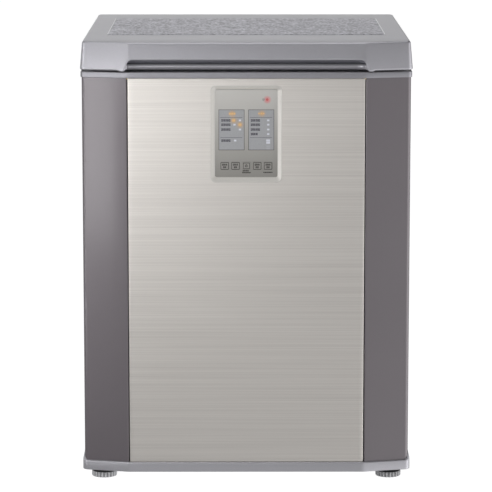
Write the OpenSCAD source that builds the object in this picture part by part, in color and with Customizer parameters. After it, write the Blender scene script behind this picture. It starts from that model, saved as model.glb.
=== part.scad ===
// Chest-type kimchi refrigerator with one top lid, built piece by piece.
// +Z is up and the front faces -Y. The origin is on the floor, in the middle of the outer box.

/* [Cabinet] */
// Width over the side panels
body_w = 595; // [560:5:720]
// Depth from the front panel's face to the back panel's face
body_d = 621.5; // [580:0.5:750]
// Height of the side panels and the front panel
body_h = 703.5; // [580:0.5:850]
// Width of the flat front between the two angled faces
front_flat_w = 430; // [360:5:470]
// Angle of the side faces beside the flat front, in degrees
front_lean = 13.6; // [4:0.2:20]
// Radius of the front corners
corner_r = 9; // [5:1:16]
// Thickness of the sheet metal
sheet = 1; // [0.7:0.1:1.4]
// Depth of the folded edges beside the front panel
hem_d = 12; // [8:1:16]
// Gap between the front panel and each side panel
panel_gap = 1.5; // [1:0.25:4]

/* [Trim] */
// How far the base trim stands out past the panels
trim_proud = 3.5; // [2:0.5:6]
// How far the collar stands out past the panels
collar_proud = 2; // [1:0.5:4]
// How far the lid's rim stands out past the panels
lid_proud = 3; // [1:0.5:3.5]
// Height of the base trim
base_h = 18; // [14:1:26]
// Height of the collar round the tub
collar_h = 12.5; // [10:0.5:18]
// Wall of the moulded trim
moulded_t = 3; // [2:0.25:4]
// Radius that softens the bends of the trim
crease_r = 40; // [10:5:80]

/* [Lid] */
// Height of the lid's side
lid_h = 51; // [44:1:70]
// Gap between the collar and the lid, filled by the gasket
seal_gap = 5; // [4:0.5:8]
// How far the lid reaches past the back panel
lid_overhang = 18; // [14:1:22]
// How far the lid's sides lean in from rim to top edge
lid_draft = 4; // [0:0.5:8]
// Wall of the lid's outer shell
lid_t = 2.5; // [2:0.25:4]
// Width of the patterned plate on the lid
plate_w = 512; // [400:4:540]
// Depth of the patterned plate
plate_d = 370; // [250:5:440]
// Border in front of the plate
plate_border = 150; // [60:5:180]
// How far the plate stands above the lid
plate_proud = 1; // [0.5:0.5:4]
// How far the lid's plug reaches down into the tub
plug_h = 25; // [15:1:35]
// Gap between the plug and the collar
plug_gap = 8; // [5:1:15]
// Width of the gasket
gasket_w = 16; // [10:1:20]

/* [Handle] */
// Width of the finger notch in the lid's front
notch_w = 430; // [200:10:430]
// Height of the finger notch
notch_h = 18.5; // [12:0.5:21]
// Depth of the finger pocket behind the notch
pocket_d = 22; // [18:1:30]
// Height of the finger pocket inside
pocket_h = 27.5; // [22:0.5:34]
// Radius of the rounded lip at the pocket's foot
lip_r = 5; // [3:0.5:6]

/* [Tub] */
// Thickness of the insulated side walls
wall_side = 57; // [50:1:70]
// Thickness of the insulated front wall
wall_front = 57; // [52:1:70]
// Thickness of the insulated back wall
wall_back = 60; // [45:1:75]
// Thickness of the insulation under the tub
wall_floor = 65; // [45:1:80]
// Insulation between the tub and the machine compartment
wall_step = 54; // [40:1:70]
// Thickness of the aluminium tub
liner_t = 1.2; // [0.8:0.1:2]
// Radius of the tub's upright corners
tub_r = 25; // [15:1:40]
// Number of runs of the evaporator tube round the tub
evap_runs = 8; // [4:2:10]
// Outer radius of the evaporator tube
evap_r = 4; // [3:0.25:5]

/* [Machine compartment] */
// Depth of the machine compartment
machine_d = 225; // [210:1:260]
// Height of the machine compartment
machine_h = 232; // [225:1:260]
// Outer radius of the compressor's shell
comp_r = 68; // [60:1:72]
// Height of the compressor's shell
comp_h = 160; // [130:1:165]
// Outer radius of the fan
fan_r = 59; // [45:1:62]
// How far the rear cover bulges past the back panel
rear_out = 25; // [22:1:35]

/* [Feet and rollers] */
// Height of the base trim above the floor
floor_gap = 24.5; // [23:0.5:30]
// Radius of the levelling feet
foot_r = 23.5; // [18:0.5:28]
// Height of a foot's disc
foot_h = 10; // [8:0.5:12]
// Radius of the levelling screw
stud_r = 5; // [4:0.5:6]
// Radius of the rear rollers
roller_r = 16; // [13:0.5:17]
// Width of the rear rollers
roller_w = 18; // [12:1:24]

/* [Control panel] */
// Width of the bezel
bezel_w = 129; // [110:1:150]
// Height of the bezel
bezel_h = 176; // [150:1:200]
// Width of the bezel's sloping frame
bezel_rim = 7.5; // [5:0.5:10]
// Gap between the bezel and the collar
bezel_drop = 10; // [6:1:40]
// Depth of the fascia behind the front panel's face
fascia_sink = 2.5; // [1:0.25:4]
// Width of a key
key_w = 15.6; // [10:0.2:18]
// Height of a key
key_h = 14; // [10:0.2:18]
// Distance between the keys' centres
key_pitch = 19.6; // [17:0.2:21]
// Width of a display window
window_w = 46; // [30:1:48]
// Height of a display window
window_h = 73; // [50:1:80]

/* [Hinges] */
// Distance of each hinge from the middle
hinge_x = 190; // [120:5:230]
// Distance of the hinge pin behind the back panel
pin_out = 12; // [11:0.5:13]
// Distance of the hinge pin below the collar's top
pin_drop = 6; // [5:0.5:8]
// Radius of the hinge pin
pin_r = 4; // [3:0.25:4.5]

/* [Hidden] */
$fn = 48;

// Clearances: a part laid on another, a shaft in a bore, and a part that slides in a hole
lay_gap = 0.3;
run_gap = 0.08;
slide_gap = 0.3;
eps = 0.01;

// Colours, as the photograph shows them
c_trim = [0.60, 0.60, 0.63];
c_side = [0.40, 0.38, 0.40];
c_steel = [0.73, 0.71, 0.69];
c_dark = [0.30, 0.30, 0.33];
c_zinc = [0.68, 0.70, 0.72];
c_white = [0.92, 0.92, 0.90];
c_foam = [0.90, 0.84, 0.62];
c_copper = [0.72, 0.45, 0.30];
c_black = [0.10, 0.10, 0.11];
c_board = [0.12, 0.38, 0.22];

// Levels, from the floor up
z_base = floor_gap;
z_body = z_base + base_h;
z_collar = z_body + body_h;
z_seal = z_collar + collar_h;
z_deck = z_seal - moulded_t;
z_lid = z_seal + seal_gap;
z_top = z_lid + lid_h;

// Depths, from the front back
y_front = -(trim_proud + body_d + rear_out) / 2 + trim_proud;
y_back = y_front + body_d;
y_lid_front = y_front - lid_proud;
y_lid_back = y_back + lid_overhang;

// The tub: a deep well in front and a shallower part above the machine compartment
tub_w = body_w - 2 * wall_side;
tub_y0 = y_front + wall_front;
tub_y1 = y_back - wall_back;
machine_y = y_back - machine_d;
machine_z = z_body + machine_h;
tub_step_y = machine_y - wall_step + 4;
tub_step_z = machine_z + wall_step;
tub_floor_z = z_body + wall_floor;
collar_skirt = 20;
mouth_inset = slide_gap + 2;

// ---------- shared shapes ----------

function unit(v) = v / norm(v);

// Points of the arc of radius r that rounds the corner p between a and b, in a plane or in space
function corner_arc(a, p, b, r, n) = r <= 0 ? [p] :
  let(u = unit(a - p), v = unit(b - p), half = acos(u * v) / 2, turn = 180 - 2 * half,
      c = p + unit(u + v) * r / sin(half), s = p + u * r / tan(half) - c, e = p + v * r / tan(half) - c)
  [for (i = [0 : n]) c + (sin(turn * (1 - i / n)) * s + sin(turn * i / n) * e) / sin(turn)];

// Polygon with each corner rounded by its own radius
function rounded(pts, radii, n = 6) = let(k = len(pts)) [for (i = [0 : k - 1])
  each corner_arc(pts[(i + k - 1) % k], pts[i], pts[(i + 1) % k], radii[i], n)];

function rounded_box(x0, x1, y0, y1, r, n = 6) =
  rounded([[x0, y0], [x1, y0], [x1, y1], [x0, y1]], [r, r, r, r], n);

// Plan of the cabinet, moved inwards by inset: flat in the middle, angled beside it, square behind
function cabinet_plan(inset, r, crease = 0, back = y_back, back_r = 0) =
  let(w = body_w - 2 * inset, f = y_front + inset,
      flat = front_flat_w - 2 * inset * tan(front_lean / 2), s = f + (w - flat) / 2 * tan(front_lean))
  rounded([[-w / 2, back], [-w / 2, s], [-flat / 2, f], [flat / 2, f], [w / 2, s], [w / 2, back]],
          [back_r, r, crease, crease, r, back_r]);

function tub_plan(grow, back) =
  rounded_box(-tub_w / 2 - grow, tub_w / 2 + grow, tub_y0 - grow, back + grow, max(tub_r + grow, 2));

module slab(points, z0, z1) translate([0, 0, z0]) linear_extrude(z1 - z0) polygon(points);

module block(x0, x1, y0, y1, z0, z1) translate([x0, y0, z0]) cube([x1 - x0, y1 - y0, z1 - z0]);

// Flat ring between two outlines
module ring(outer, inner, z0, z1) translate([0, 0, z0]) linear_extrude(z1 - z0) difference() {
  polygon(outer);
  polygon(inner);
}

// Plate whose outline is drawn in X and Z, from depth y0 back to y1
module upright(points, y0, y1) translate([0, y1, 0]) rotate([90, 0, 0]) linear_extrude(y1 - y0)
  polygon(points);

// Cylinder along X or along Y, from one coordinate to another
module rod_x(x0, x1, y, z, r) translate([x0, y, z]) rotate([0, 90, 0]) cylinder(r = r, h = x1 - x0);
module rod_y(x, y0, y1, z, r) translate([x, y1, z]) rotate([90, 0, 0]) cylinder(r = r, h = y1 - y0);

// Round tube along a line of points, with an arc at each; bend is its radius, or a list of radii
module pipe(pts, r, bend) {
  last = len(pts) - 1;
  dir = [for (i = [0 : last - 1]) unit(pts[i + 1] - pts[i])];
  arc = [for (i = [0 : last]) is_list(bend) ? bend[i] : bend];
  cut = [for (i = [0 : last]) (i == 0 || i == last) ? 0 : arc[i] * tan(acos(dir[i - 1] * dir[i]) / 2)];
  for (i = [0 : last - 1]) {
    d = dir[i];
    long = norm(pts[i + 1] - pts[i]) - cut[i] - cut[i + 1];
    side = abs(d[2]) > 0.9 ? [1, 0, 0] : unit(cross([0, 0, 1], d));
    if (long > eps) multmatrix(basis(side, cross(d, side), d, pts[i] + d * cut[i]))
      cylinder(r = r, h = long);
  }
  for (i = [1 : last - 1]) {
    a = dir[i - 1];
    n = unit(dir[i] - a * (a * dir[i]));
    c = pts[i] - a * cut[i] + n * arc[i];
    multmatrix(basis(-n, a, cross(-n, a), c)) rotate_extrude(angle = acos(a * dir[i]))
      translate([arc[i], 0]) circle(r = r);
  }
}
function basis(x, y, z, p) = [[x[0], y[0], z[0], p[0]], [x[1], y[1], z[1], p[1]],
                              [x[2], y[2], z[2], p[2]], [0, 0, 0, 1]];

// Tube of flat facets along a line of points, closed at both ends
module swept(pts, r, sides) {
  n = len(pts);
  rings = [for (i = [0 : n - 1]) let(d = unit(pts[min(i + 1, n - 1)] - pts[max(i - 1, 0)]),
    u = unit(cross(d, abs(d[0]) > 0.8 ? [0, 0, 1] : [1, 0, 0])), v = cross(d, u))
    for (k = [0 : sides - 1]) pts[i] + r * (cos(360 * k / sides) * u + sin(360 * k / sides) * v)];
  faces = concat(
    [for (i = [0 : n - 2], k = [0 : sides - 1]) let(a = i * sides + k, b = i * sides + (k + 1) % sides)
      each [[a, b + sides, b], [a, a + sides, b + sides]]],
    [for (k = [1 : sides - 2]) each [[0, k, k + 1],
      [(n - 1) * sides, (n - 1) * sides + k + 1, (n - 1) * sides + k]]]);
  polyhedron(points = rings, faces = faces, convexity = 6);
}

// ---------- cabinet shell ----------

flange_w = 16;
screw_r = 1.9;
screw_hole_r = 2.1;
screw_inset = 9;

// Places of the screws that hold the back panel and the rear cover, as [x, z]
function rear_screw_spots() = [for (s = [-1, 1], z = [z_body + 30, z_body + machine_h / 2,
  machine_z - 30, machine_z + 30, (machine_z + z_collar) / 2, z_collar - 70])
  [s * (body_w / 2 - screw_inset), z]];

module screw_holes(spots) for (p = spots) rod_y(p[0], y_back - 3 * sheet, y_back + 6, p[1], screw_hole_r);

module side_panel() color(c_side) difference() {
  translate([0, 0, z_body]) linear_extrude(body_h) union() {
    intersection() {
      difference() {
        polygon(cabinet_plan(0, corner_r, back = y_back - sheet));
        polygon(cabinet_plan(sheet, corner_r - sheet));
      }
      translate([front_flat_w / 2, y_front - 1]) square([body_w, body_d + 2]);
    }
    translate([front_flat_w / 2, y_front]) square([sheet, hem_d]);
    translate([body_w / 2 - flange_w, y_back - 2 * sheet]) square([flange_w - sheet / 2, sheet]);
  }
  screw_holes(rear_screw_spots());
}

panel_half = front_flat_w / 2 - panel_gap;
fascia_w = bezel_w - 2 * bezel_rim;
fascia_h = bezel_h - 2 * bezel_rim - 1;
neck_t = 2;
control_z = z_collar - bezel_drop - bezel_h / 2;

function control_plan(w, h, r) =
  rounded_box(-w / 2, w / 2, control_z - h / 2, control_z + h / 2, r);

module front_panel() color(c_steel) difference() {
  translate([0, 0, z_body]) linear_extrude(body_h) difference() {
    translate([-panel_half, y_front]) square([2 * panel_half, hem_d]);
    translate([-panel_half + sheet, y_front + sheet]) square([2 * (panel_half - sheet), hem_d]);
  }
  upright(control_plan(fascia_w + 2 * neck_t + 1, fascia_h + 2 * neck_t + 1, 6), y_front - 1, y_front + 3);
}

// Places of the hinge bracket's screws, as [x, z]
hinge_plate_w = 50;
hinge_plate_h = 46;
hinge_plate_z = z_seal - pin_drop - 14 - hinge_plate_h;
function hinge_screw_spots() = [for (s = [-1, 1], a = [-16, 16], b = [10, 34])
  [s * hinge_x + a, hinge_plate_z + b]];

module back_panel() color(c_zinc) difference() {
  block(-body_w / 2 + 0.5, body_w / 2 - 0.5, y_back - sheet, y_back, machine_z + 0.5, z_collar);
  screw_holes(rear_screw_spots());
  screw_holes(hinge_screw_spots());
}

harness_x = -body_w / 2 + 22.5;
harness_y = machine_y + 75;
harness_r = 3;
evap_x = tub_w / 2 + liner_t + evap_r + 0.4;
tail_y1 = y_back - 85;
tail_y2 = tail_y1 - 30;
tail_z = machine_z - 13;

module machine_bulkhead() color(c_zinc) difference() {
  union() {
    block(-body_w / 2 + sheet + 0.3, body_w / 2 - sheet - 0.3, machine_y - sheet, machine_y,
          z_body, machine_z + sheet);
    block(-body_w / 2 + sheet + 0.3, body_w / 2 - sheet - 0.3, machine_y - sheet, y_back - 2 * sheet,
          machine_z, machine_z + sheet);
  }
  for (y = [tail_y1, tail_y2]) translate([-evap_x, y, machine_z - 1]) cylinder(r = evap_r + 1.5, h = 4);
  translate([harness_x, harness_y, machine_z - 1]) cylinder(r = harness_r + 1.5, h = 4);
}

// ---------- base ----------

pan_t = 1.2;
foot_x = body_w / 2 - 33.5;
foot_y = y_front + 75;
roller_y = y_back - 45;
pan_bottom = z_body - pan_t;

module base_pan() color(c_zinc) difference() {
  union() {
    slab(cabinet_plan(0, corner_r, back = y_back - sheet), pan_bottom, z_body);
    ring(cabinet_plan(4, corner_r - 4, back = y_back - 8), cabinet_plan(4 + pan_t, corner_r - 4 - pan_t,
         back = y_back - 8 - pan_t), pan_bottom - 10, pan_bottom + eps);
  }
  for (s = [-1, 1]) translate([s * foot_x, foot_y, pan_bottom - 1]) cylinder(r = stud_r + 1.5, h = 4);
}

flare_h = 17;
module base_trim() color(c_trim) {
  ring(cabinet_plan(-trim_proud, corner_r + trim_proud, crease_r, y_back),
       cabinet_plan(-0.5, corner_r + 0.5, crease_r, y_back + 1), z_base, z_body);
  ring(cabinet_plan(-0.5 - eps, corner_r + 0.5, crease_r, y_back - 2),
       cabinet_plan(3.7, corner_r - 3.7, crease_r, y_back + 1), pan_bottom - moulded_t, pan_bottom);
  for (s = [0, 1]) mirror([s, 0, 0]) translate([body_w / 2, y_back, z_body - eps]) rotate([90, 0, 0])
    linear_extrude(body_d - 2 * corner_r - (body_w - front_flat_w) / 2 * tan(front_lean))
      polygon([[0.2, 0], [trim_proud, 0], [trim_proud - 0.4, 4], [1, flare_h - 1], [0.2, flare_h]]);
}

stud_pin_r = stud_r - 1;
stud_low = 2.5;
stud_top = z_body + 15;
foot_travel = 12;

module foot_sockets() color(c_zinc) for (s = [-1, 1]) translate([s * foot_x, foot_y, 0]) difference() {
  translate([0, 0, pan_bottom - 13]) cylinder(r = stud_r + 4, h = 13);
  translate([0, 0, pan_bottom - 14]) cylinder(r = stud_r + run_gap, h = 15);
}

module foot_stud(s) color(c_zinc) translate([s * foot_x, foot_y, 0]) {
  translate([0, 0, foot_h + lay_gap]) cylinder(r = stud_r, h = stud_top - foot_h - lay_gap);
  translate([0, 0, stud_low + lay_gap]) cylinder(r = stud_pin_r, h = foot_h - stud_low);
}

module foot_disc(s) color(c_trim) translate([s * foot_x, foot_y, 0]) difference() {
  rotate_extrude() polygon([[0, 0], [foot_r - 1.5, 0], [foot_r, 1.5], [foot_r, foot_h - 1],
                            [foot_r - 1, foot_h], [0, foot_h]]);
  translate([0, 0, stud_low]) cylinder(r = stud_pin_r + run_gap, h = foot_h);
  for (i = [0 : 23]) rotate(i * 15) translate([foot_r + 0.6, 0, -1]) cylinder(r = 1.6, h = foot_h + 2, $fn = 16);
}

axle_r = 3;
ear_t = 2;
ear_gap = roller_w / 2 + 1.5;
module roller_brackets() color(c_zinc) for (s = [-1, 1]) translate([s * foot_x, roller_y, 0]) difference() {
  union() {
    block(-ear_gap - ear_t, ear_gap + ear_t, -20, 20, pan_bottom - 2, pan_bottom);
    for (e = [0, 1]) mirror([e, 0, 0]) {
      block(ear_gap, ear_gap + ear_t, -9, 9, roller_r, pan_bottom - 1);
      rod_x(ear_gap, ear_gap + ear_t, 0, roller_r, 9);
    }
  }
  rod_x(-30, 30, 0, roller_r, axle_r + run_gap / 2);
}

module roller_axles() color(c_zinc) for (s = [-1, 1]) translate([s * foot_x, roller_y, 0])
  rod_x(-ear_gap - ear_t - 2, ear_gap + ear_t + 2, 0, roller_r, axle_r);

module roller(s) color(c_dark) translate([s * foot_x, roller_y, roller_r]) rotate([0, 90, 0]) difference() {
  rotate_extrude() polygon([[0, -roller_w / 2], [roller_r - 1.5, -roller_w / 2], [roller_r, 1.5 - roller_w / 2],
                            [roller_r, roller_w / 2 - 1.5], [roller_r - 1.5, roller_w / 2], [0, roller_w / 2]]);
  translate([0, 0, -roller_w]) cylinder(r = axle_r + run_gap, h = 2 * roller_w);
}

// ---------- tub, insulation and evaporator ----------

// The tub's hollow, grown outwards, up to a level
module tub_hollow(grow, top) {
  slab(tub_plan(grow, tub_step_y), tub_floor_z - grow, top);
  slab(tub_plan(grow, tub_y1), tub_step_z - grow, top);
}

liner_flange = 12;
module inner_liner() color(c_zinc) {
  difference() {
    tub_hollow(liner_t, z_deck);
    tub_hollow(0, z_deck + 1);
  }
  ring(tub_plan(liner_flange, tub_y1), tub_plan(liner_t - eps, tub_y1), z_deck - liner_t, z_deck);
}

evap_top = z_collar - 45;
evap_low = tub_step_z + 50;
evap_pitch = (evap_top - evap_low) / (evap_runs - 1);
evap_bend = tub_r + liner_t + evap_r + 0.4;
evap_front = tub_y0 - liner_t - evap_r - 0.4;
evap_back = tail_y1 - 55;
jacket = evap_r + 3;

// The tube's centre line: each run goes round three walls, and the next comes back below it
function evap_run(k) = let(z = evap_top - k * evap_pitch, s = k % 2 == 0 ? -1 : 1,
  near = k == 0 ? tail_y1 : evap_back, far = k == evap_runs - 1 ? tail_y2 : evap_back)
  [[s * evap_x, near, z], [s * evap_x, evap_front, z], [-s * evap_x, evap_front, z], [-s * evap_x, far, z]];
evap_line = concat([[-evap_x, tail_y1, tail_z]], [for (k = [0 : evap_runs - 1]) each evap_run(k)],
                   [[-evap_x, tail_y2, tail_z]]);

// Bends at the tub's corners are wide and the hairpins at the back are tight
function evap_arc(p) = p[1] < tub_y0 ? evap_bend : evap_pitch / 2 - 0.5;
evap_last = len(evap_line) - 1;
evap_path = concat([evap_line[0]], [for (i = [1 : evap_last - 1])
  each corner_arc(evap_line[i - 1], evap_line[i], evap_line[i + 1], evap_arc(evap_line[i]), 6)],
  [evap_line[evap_last]]);

module evaporator_tube() color(c_copper) swept(evap_path, evap_r, 8);

housing_d = 26;
harness_line = [[-bezel_w / 2 + 34, y_front + housing_d + lay_gap, control_z], [-bezel_w / 2 + 34,
  y_front + 36, control_z], [harness_x, y_front + 36, control_z], [harness_x, harness_y, control_z],
  [harness_x, harness_y, machine_z - 20], [-body_w / 2 + 72 - lay_gap, harness_y, machine_z - 20]];
harness_bend = 9;

module body_foam() color(c_foam) difference() {
  union() {
    slab(cabinet_plan(sheet, corner_r - sheet, back = y_back - 2 * sheet), z_body, z_collar);
    slab(cabinet_plan(moulded_t - collar_proud + 0.2, corner_r - 1, crease_r, y_back - moulded_t),
         z_collar - eps, z_deck);
  }
  tub_hollow(liner_t, z_deck + 1);
  slab(tub_plan(liner_flange, tub_y1), z_deck - liner_t, z_deck + 1);
  ring(tub_plan(0, tub_y1), tub_plan(-5, tub_y1), z_seal - collar_skirt, z_deck + 1);
  slab(rounded([[-evap_x - jacket, evap_front - jacket], [evap_x + jacket, evap_front - jacket],
                [evap_x + jacket, tail_y1 + jacket], [-evap_x - jacket, tail_y1 + jacket]],
               [evap_bend, evap_bend, 0, 0]), evap_low - jacket, evap_top + jacket);
  block(-evap_x - jacket, -evap_x + jacket, tail_y2 - 2 * jacket, tail_y1 + jacket, machine_z, evap_low);
  block(-body_w, body_w, machine_y - sheet, y_back + 1, z_body - 1, machine_z + sheet);
  upright(control_plan(fascia_w + 2 * neck_t + 2, fascia_h + 2 * neck_t + 2, 3), y_front - 1,
          y_front + housing_d + lay_gap);
  for (s = [0, 1]) mirror([s, 0, 0])
    block(panel_half - sheet, front_flat_w / 2 + sheet, y_front - 1, y_front + hem_d, z_body - 1, z_collar + 1);
  for (s = [-1, 1]) translate([s * foot_x, foot_y, z_body - 1]) cylinder(r = stud_r + 3, h = 22);
  pipe(harness_line, harness_r + 1, harness_bend);
}

sensor_w = 60;
sensor_h = 44;
sensor_d = 12;
sensor_z = z_collar - 150;
module sensor_cover() color(c_white) difference() {
  upright(rounded_box(-sensor_w / 2, sensor_w / 2, sensor_z - sensor_h / 2, sensor_z + sensor_h / 2, 6),
          tub_y1 - sensor_d, tub_y1);
  block(-sensor_w / 2 + 2, sensor_w / 2 - 2, tub_y1 - sensor_d + 2, tub_y1 + 1,
        sensor_z - sensor_h / 2 + 2, sensor_z + sensor_h / 2 - 2);
  for (i = [-2 : 2]) block(-20, 20, tub_y1 - sensor_d - 1, tub_y1 - sensor_d + 3,
                           sensor_z + 7 * i - 1.5, sensor_z + 7 * i + 1.5);
}

module top_collar() color(c_trim) {
  ring(cabinet_plan(-collar_proud, corner_r + collar_proud, crease_r, y_back + collar_proud, 6),
       tub_plan(-mouth_inset, tub_y1), z_deck, z_seal);
  ring(cabinet_plan(-collar_proud, corner_r + collar_proud, crease_r, y_back + collar_proud, 6),
       cabinet_plan(moulded_t - collar_proud, corner_r - 1, crease_r, y_back - 1), z_collar, z_deck + eps);
  ring(tub_plan(-slide_gap, tub_y1), tub_plan(-mouth_inset, tub_y1), z_seal - collar_skirt, z_deck + eps);
}

// ---------- control panel ----------

fascia_y = y_front + fascia_sink;
fascia_t = 2;
neck_y = fascia_y + fascia_t;
board_y = y_front + 10;
board_t = 1.6;
window_gap = 7.5;
window_z = control_z + fascia_h / 2 - 36 - window_h / 2;
key_z = control_z - fascia_h / 2 + 22;
lamp_z = control_z + fascia_h / 2 - 18;
lamp_spots = [31, 37.5];
lamp_r = 2.2;

module control_bezel() color(c_steel) difference() {
  union() {
    upright(control_plan(bezel_w, bezel_h, 9), y_front - 0.8, y_front);
    upright(control_plan(fascia_w + 2 * neck_t, fascia_h + 2 * neck_t, 5), y_front - eps, neck_y);
  }
  hull() {
    upright(control_plan(bezel_w - 4, bezel_h - 4, 7), y_front - 1, y_front - 0.9);
    upright(control_plan(fascia_w, fascia_h, 4), y_front + 0.8, y_front + 0.9);
  }
  upright(control_plan(fascia_w, fascia_h, 4), y_front, neck_y + 1);
}

module control_fascia() color([0.66, 0.66, 0.64]) difference() {
  upright(control_plan(fascia_w - 0.4, fascia_h - 0.4, 3.8), fascia_y, neck_y);
  for (s = [-1, 1]) window_at(s, slide_gap - 0.1, fascia_y - 1, neck_y + 1);
  for (i = [1 : 5]) key_at(i, slide_gap, fascia_y - 1, neck_y + 1);
  for (x = lamp_spots) rod_y(x, fascia_y - 1, neck_y + 1, lamp_z, lamp_r + 0.15);
}

module window_at(s, grow, y0, y1) translate([s * (window_w + window_gap) / 2, 0, window_z])
  upright(rounded_box(-window_w / 2 - grow, window_w / 2 + grow, -window_h / 2 - grow, window_h / 2 + grow, 1.2),
          y0, y1);

module key_at(i, grow, y0, y1) translate([(i - 3) * key_pitch, 0, key_z])
  upright(rounded_box(-key_w / 2 - grow, key_w / 2 + grow, -key_h / 2 - grow, key_h / 2 + grow, 1.5), y0, y1);

module display_windows() color([0.55, 0.55, 0.60]) for (s = [-1, 1]) window_at(s, 0, fascia_y + 0.1, neck_y);

module status_lamps() color([0.85, 0.30, 0.30]) for (x = lamp_spots)
  rod_y(x, fascia_y - 0.2, board_y - lay_gap, lamp_z, lamp_r);

key_travel = 0.8;
key_back = board_y - 2.4;
module key(i) color([0.60, 0.60, 0.58]) {
  key_at(i, 0, fascia_y - 0.2, key_back);
  key_at(i, 0.9, neck_y + 0.3, neck_y + 1.3);
}

module display_board() color(c_board) {
  upright(control_plan(fascia_w - 6, fascia_h - 6, 2), board_y, board_y + board_t);
  for (s = [-1, 1]) window_at(s, -1, neck_y + lay_gap, board_y + eps);
  for (i = [1 : 5]) translate([(i - 3) * key_pitch, 0, key_z]) block(-3, 3, key_back + key_travel + 0.2,
                                                                     board_y + eps, -3, 3);
}

boss_x = fascia_w / 2 - 8;
boss_z = fascia_h / 2 - 8;
module control_housing() color(c_white) difference() {
  upright(control_plan(fascia_w + 2 * neck_t, fascia_h + 2 * neck_t, 3), neck_y, y_front + housing_d);
  difference() {
    upright(control_plan(fascia_w, fascia_h, 2), neck_y - 1, y_front + housing_d - neck_t);
    for (a = [-1, 1], b = [-1, 1]) rod_y(a * boss_x, board_y + board_t, y_front + housing_d, control_z + b * boss_z, 4);
  }
}

// ---------- machine compartment ----------

comp_x = body_w / 2 - 132.5;
comp_y = machine_y + 107;
comp_foot_z = z_body + 10;
comp_foot_t = 2.5;
comp_z = comp_foot_z + comp_foot_t;
grommet_x = 80;
grommet_y = 48;
comp_shell_t = 3;
seam_z = 78;

// Half section of the compressor, shrunk by t
function comp_section(t) = rounded([[0, t], [comp_r - t, t], [comp_r - t, comp_h - t], [0, comp_h - t]],
  [0, 28 - t, 45 - t, 0]);

module at_grommets() for (a = [-1, 1], b = [-1, 1])
  translate([comp_x + a * grommet_x, comp_y + b * grommet_y, 0]) children();

module compressor_shell() color(c_black) difference() {
  union() {
    translate([comp_x, comp_y, comp_z - eps]) rotate_extrude() difference() {
      polygon(comp_section(0));
      polygon(comp_section(comp_shell_t));
    }
    translate([comp_x, comp_y, comp_z + seam_z]) rotate_extrude() translate([comp_r - 1, 0]) square([3.5, 3]);
    slab(rounded_box(comp_x - 92, comp_x + 92, comp_y - 60, comp_y + 60, 12), comp_foot_z, comp_z);
  }
  at_grommets() translate([0, 0, comp_foot_z - 1]) cylinder(r = 7, h = 5);
}

module compressor_pump() color(c_zinc) translate([comp_x, comp_y, comp_z + comp_shell_t]) {
  translate([0, 0, 18]) cylinder(r = 48, h = 52);
  translate([0, 0, 70 - eps]) cylinder(r = 30, h = 22);
  translate([-20, -16, 80]) cube([56, 32, 28]);
  for (a = [0, 120, 240]) rotate(a) translate([30, 0, lay_gap]) cylinder(r = 7, h = 18);
}

module compressor_grommets() color(c_black) at_grommets() difference() {
  union() {
    translate([0, 0, z_body]) cylinder(r = 10, h = comp_foot_z - z_body);
    translate([0, 0, comp_foot_z - eps]) cylinder(r = 6.8, h = comp_foot_t + 0.2);
    translate([0, 0, comp_z + 0.1]) cylinder(r = 9, h = 3);
  }
  translate([0, 0, z_body - 1]) cylinder(r = 3.2, h = 20);
}

module compressor_bolts() color(c_zinc) at_grommets() {
  translate([0, 0, z_body]) cylinder(r = 3, h = 16);
  translate([0, 0, comp_z + 3.2]) cylinder(r = 6, h = 4, $fn = 6);
}

module terminal_cover() color(c_dark) translate([comp_x, comp_y, comp_z]) difference() {
  block(-26, 26, comp_r - 14, comp_r + 22, 22, seam_z - 6);
  translate([0, 0, 10]) cylinder(r = comp_r + lay_gap, h = 100);
}

fan_x = comp_x - 155;
fan_y = machine_y + machine_d / 2;
fan_z = z_body + 100;
shroud_y0 = machine_y + 10;
shroud_y1 = y_back - 20;
cond_r = 2.4;
cond_pitch = 28;
cond_x0 = -body_w / 2 + 30;
cond_passes = floor((fan_x - 45 - cond_x0) / cond_pitch);
cond_y0 = machine_y + 40;
cond_y1 = y_back - 35;
cond_z = [z_body + 35, z_body + 75];
rail_y = [cond_y0 + 25, cond_y1 - 25];

// The condenser's centre line: up and down its length, across, then back on the layer above
function cond_pass(s) = let(k = floor(s / cond_passes), j = s % cond_passes,
  x = cond_x0 + (k == 0 ? j : cond_passes - 1 - j) * cond_pitch, up = s % 2 == 0)
  [[x, up ? cond_y0 : cond_y1, cond_z[k]], [x, up ? cond_y1 : cond_y0, cond_z[k]]];

module condenser_coil() color(c_black) {
  pipe([for (s = [0 : 2 * cond_passes - 1]) each cond_pass(s)], cond_r, cond_pitch / 2 - 0.5);
  for (k = [0, 1], i = [0 : 5]) rod_x(cond_x0 - 5, cond_x0 + (cond_passes - 1) * cond_pitch + 5,
    cond_y0 + 22 + i * (cond_y1 - cond_y0 - 44) / 5, cond_z[k] + cond_r + 0.9, 0.8);
}

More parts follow.
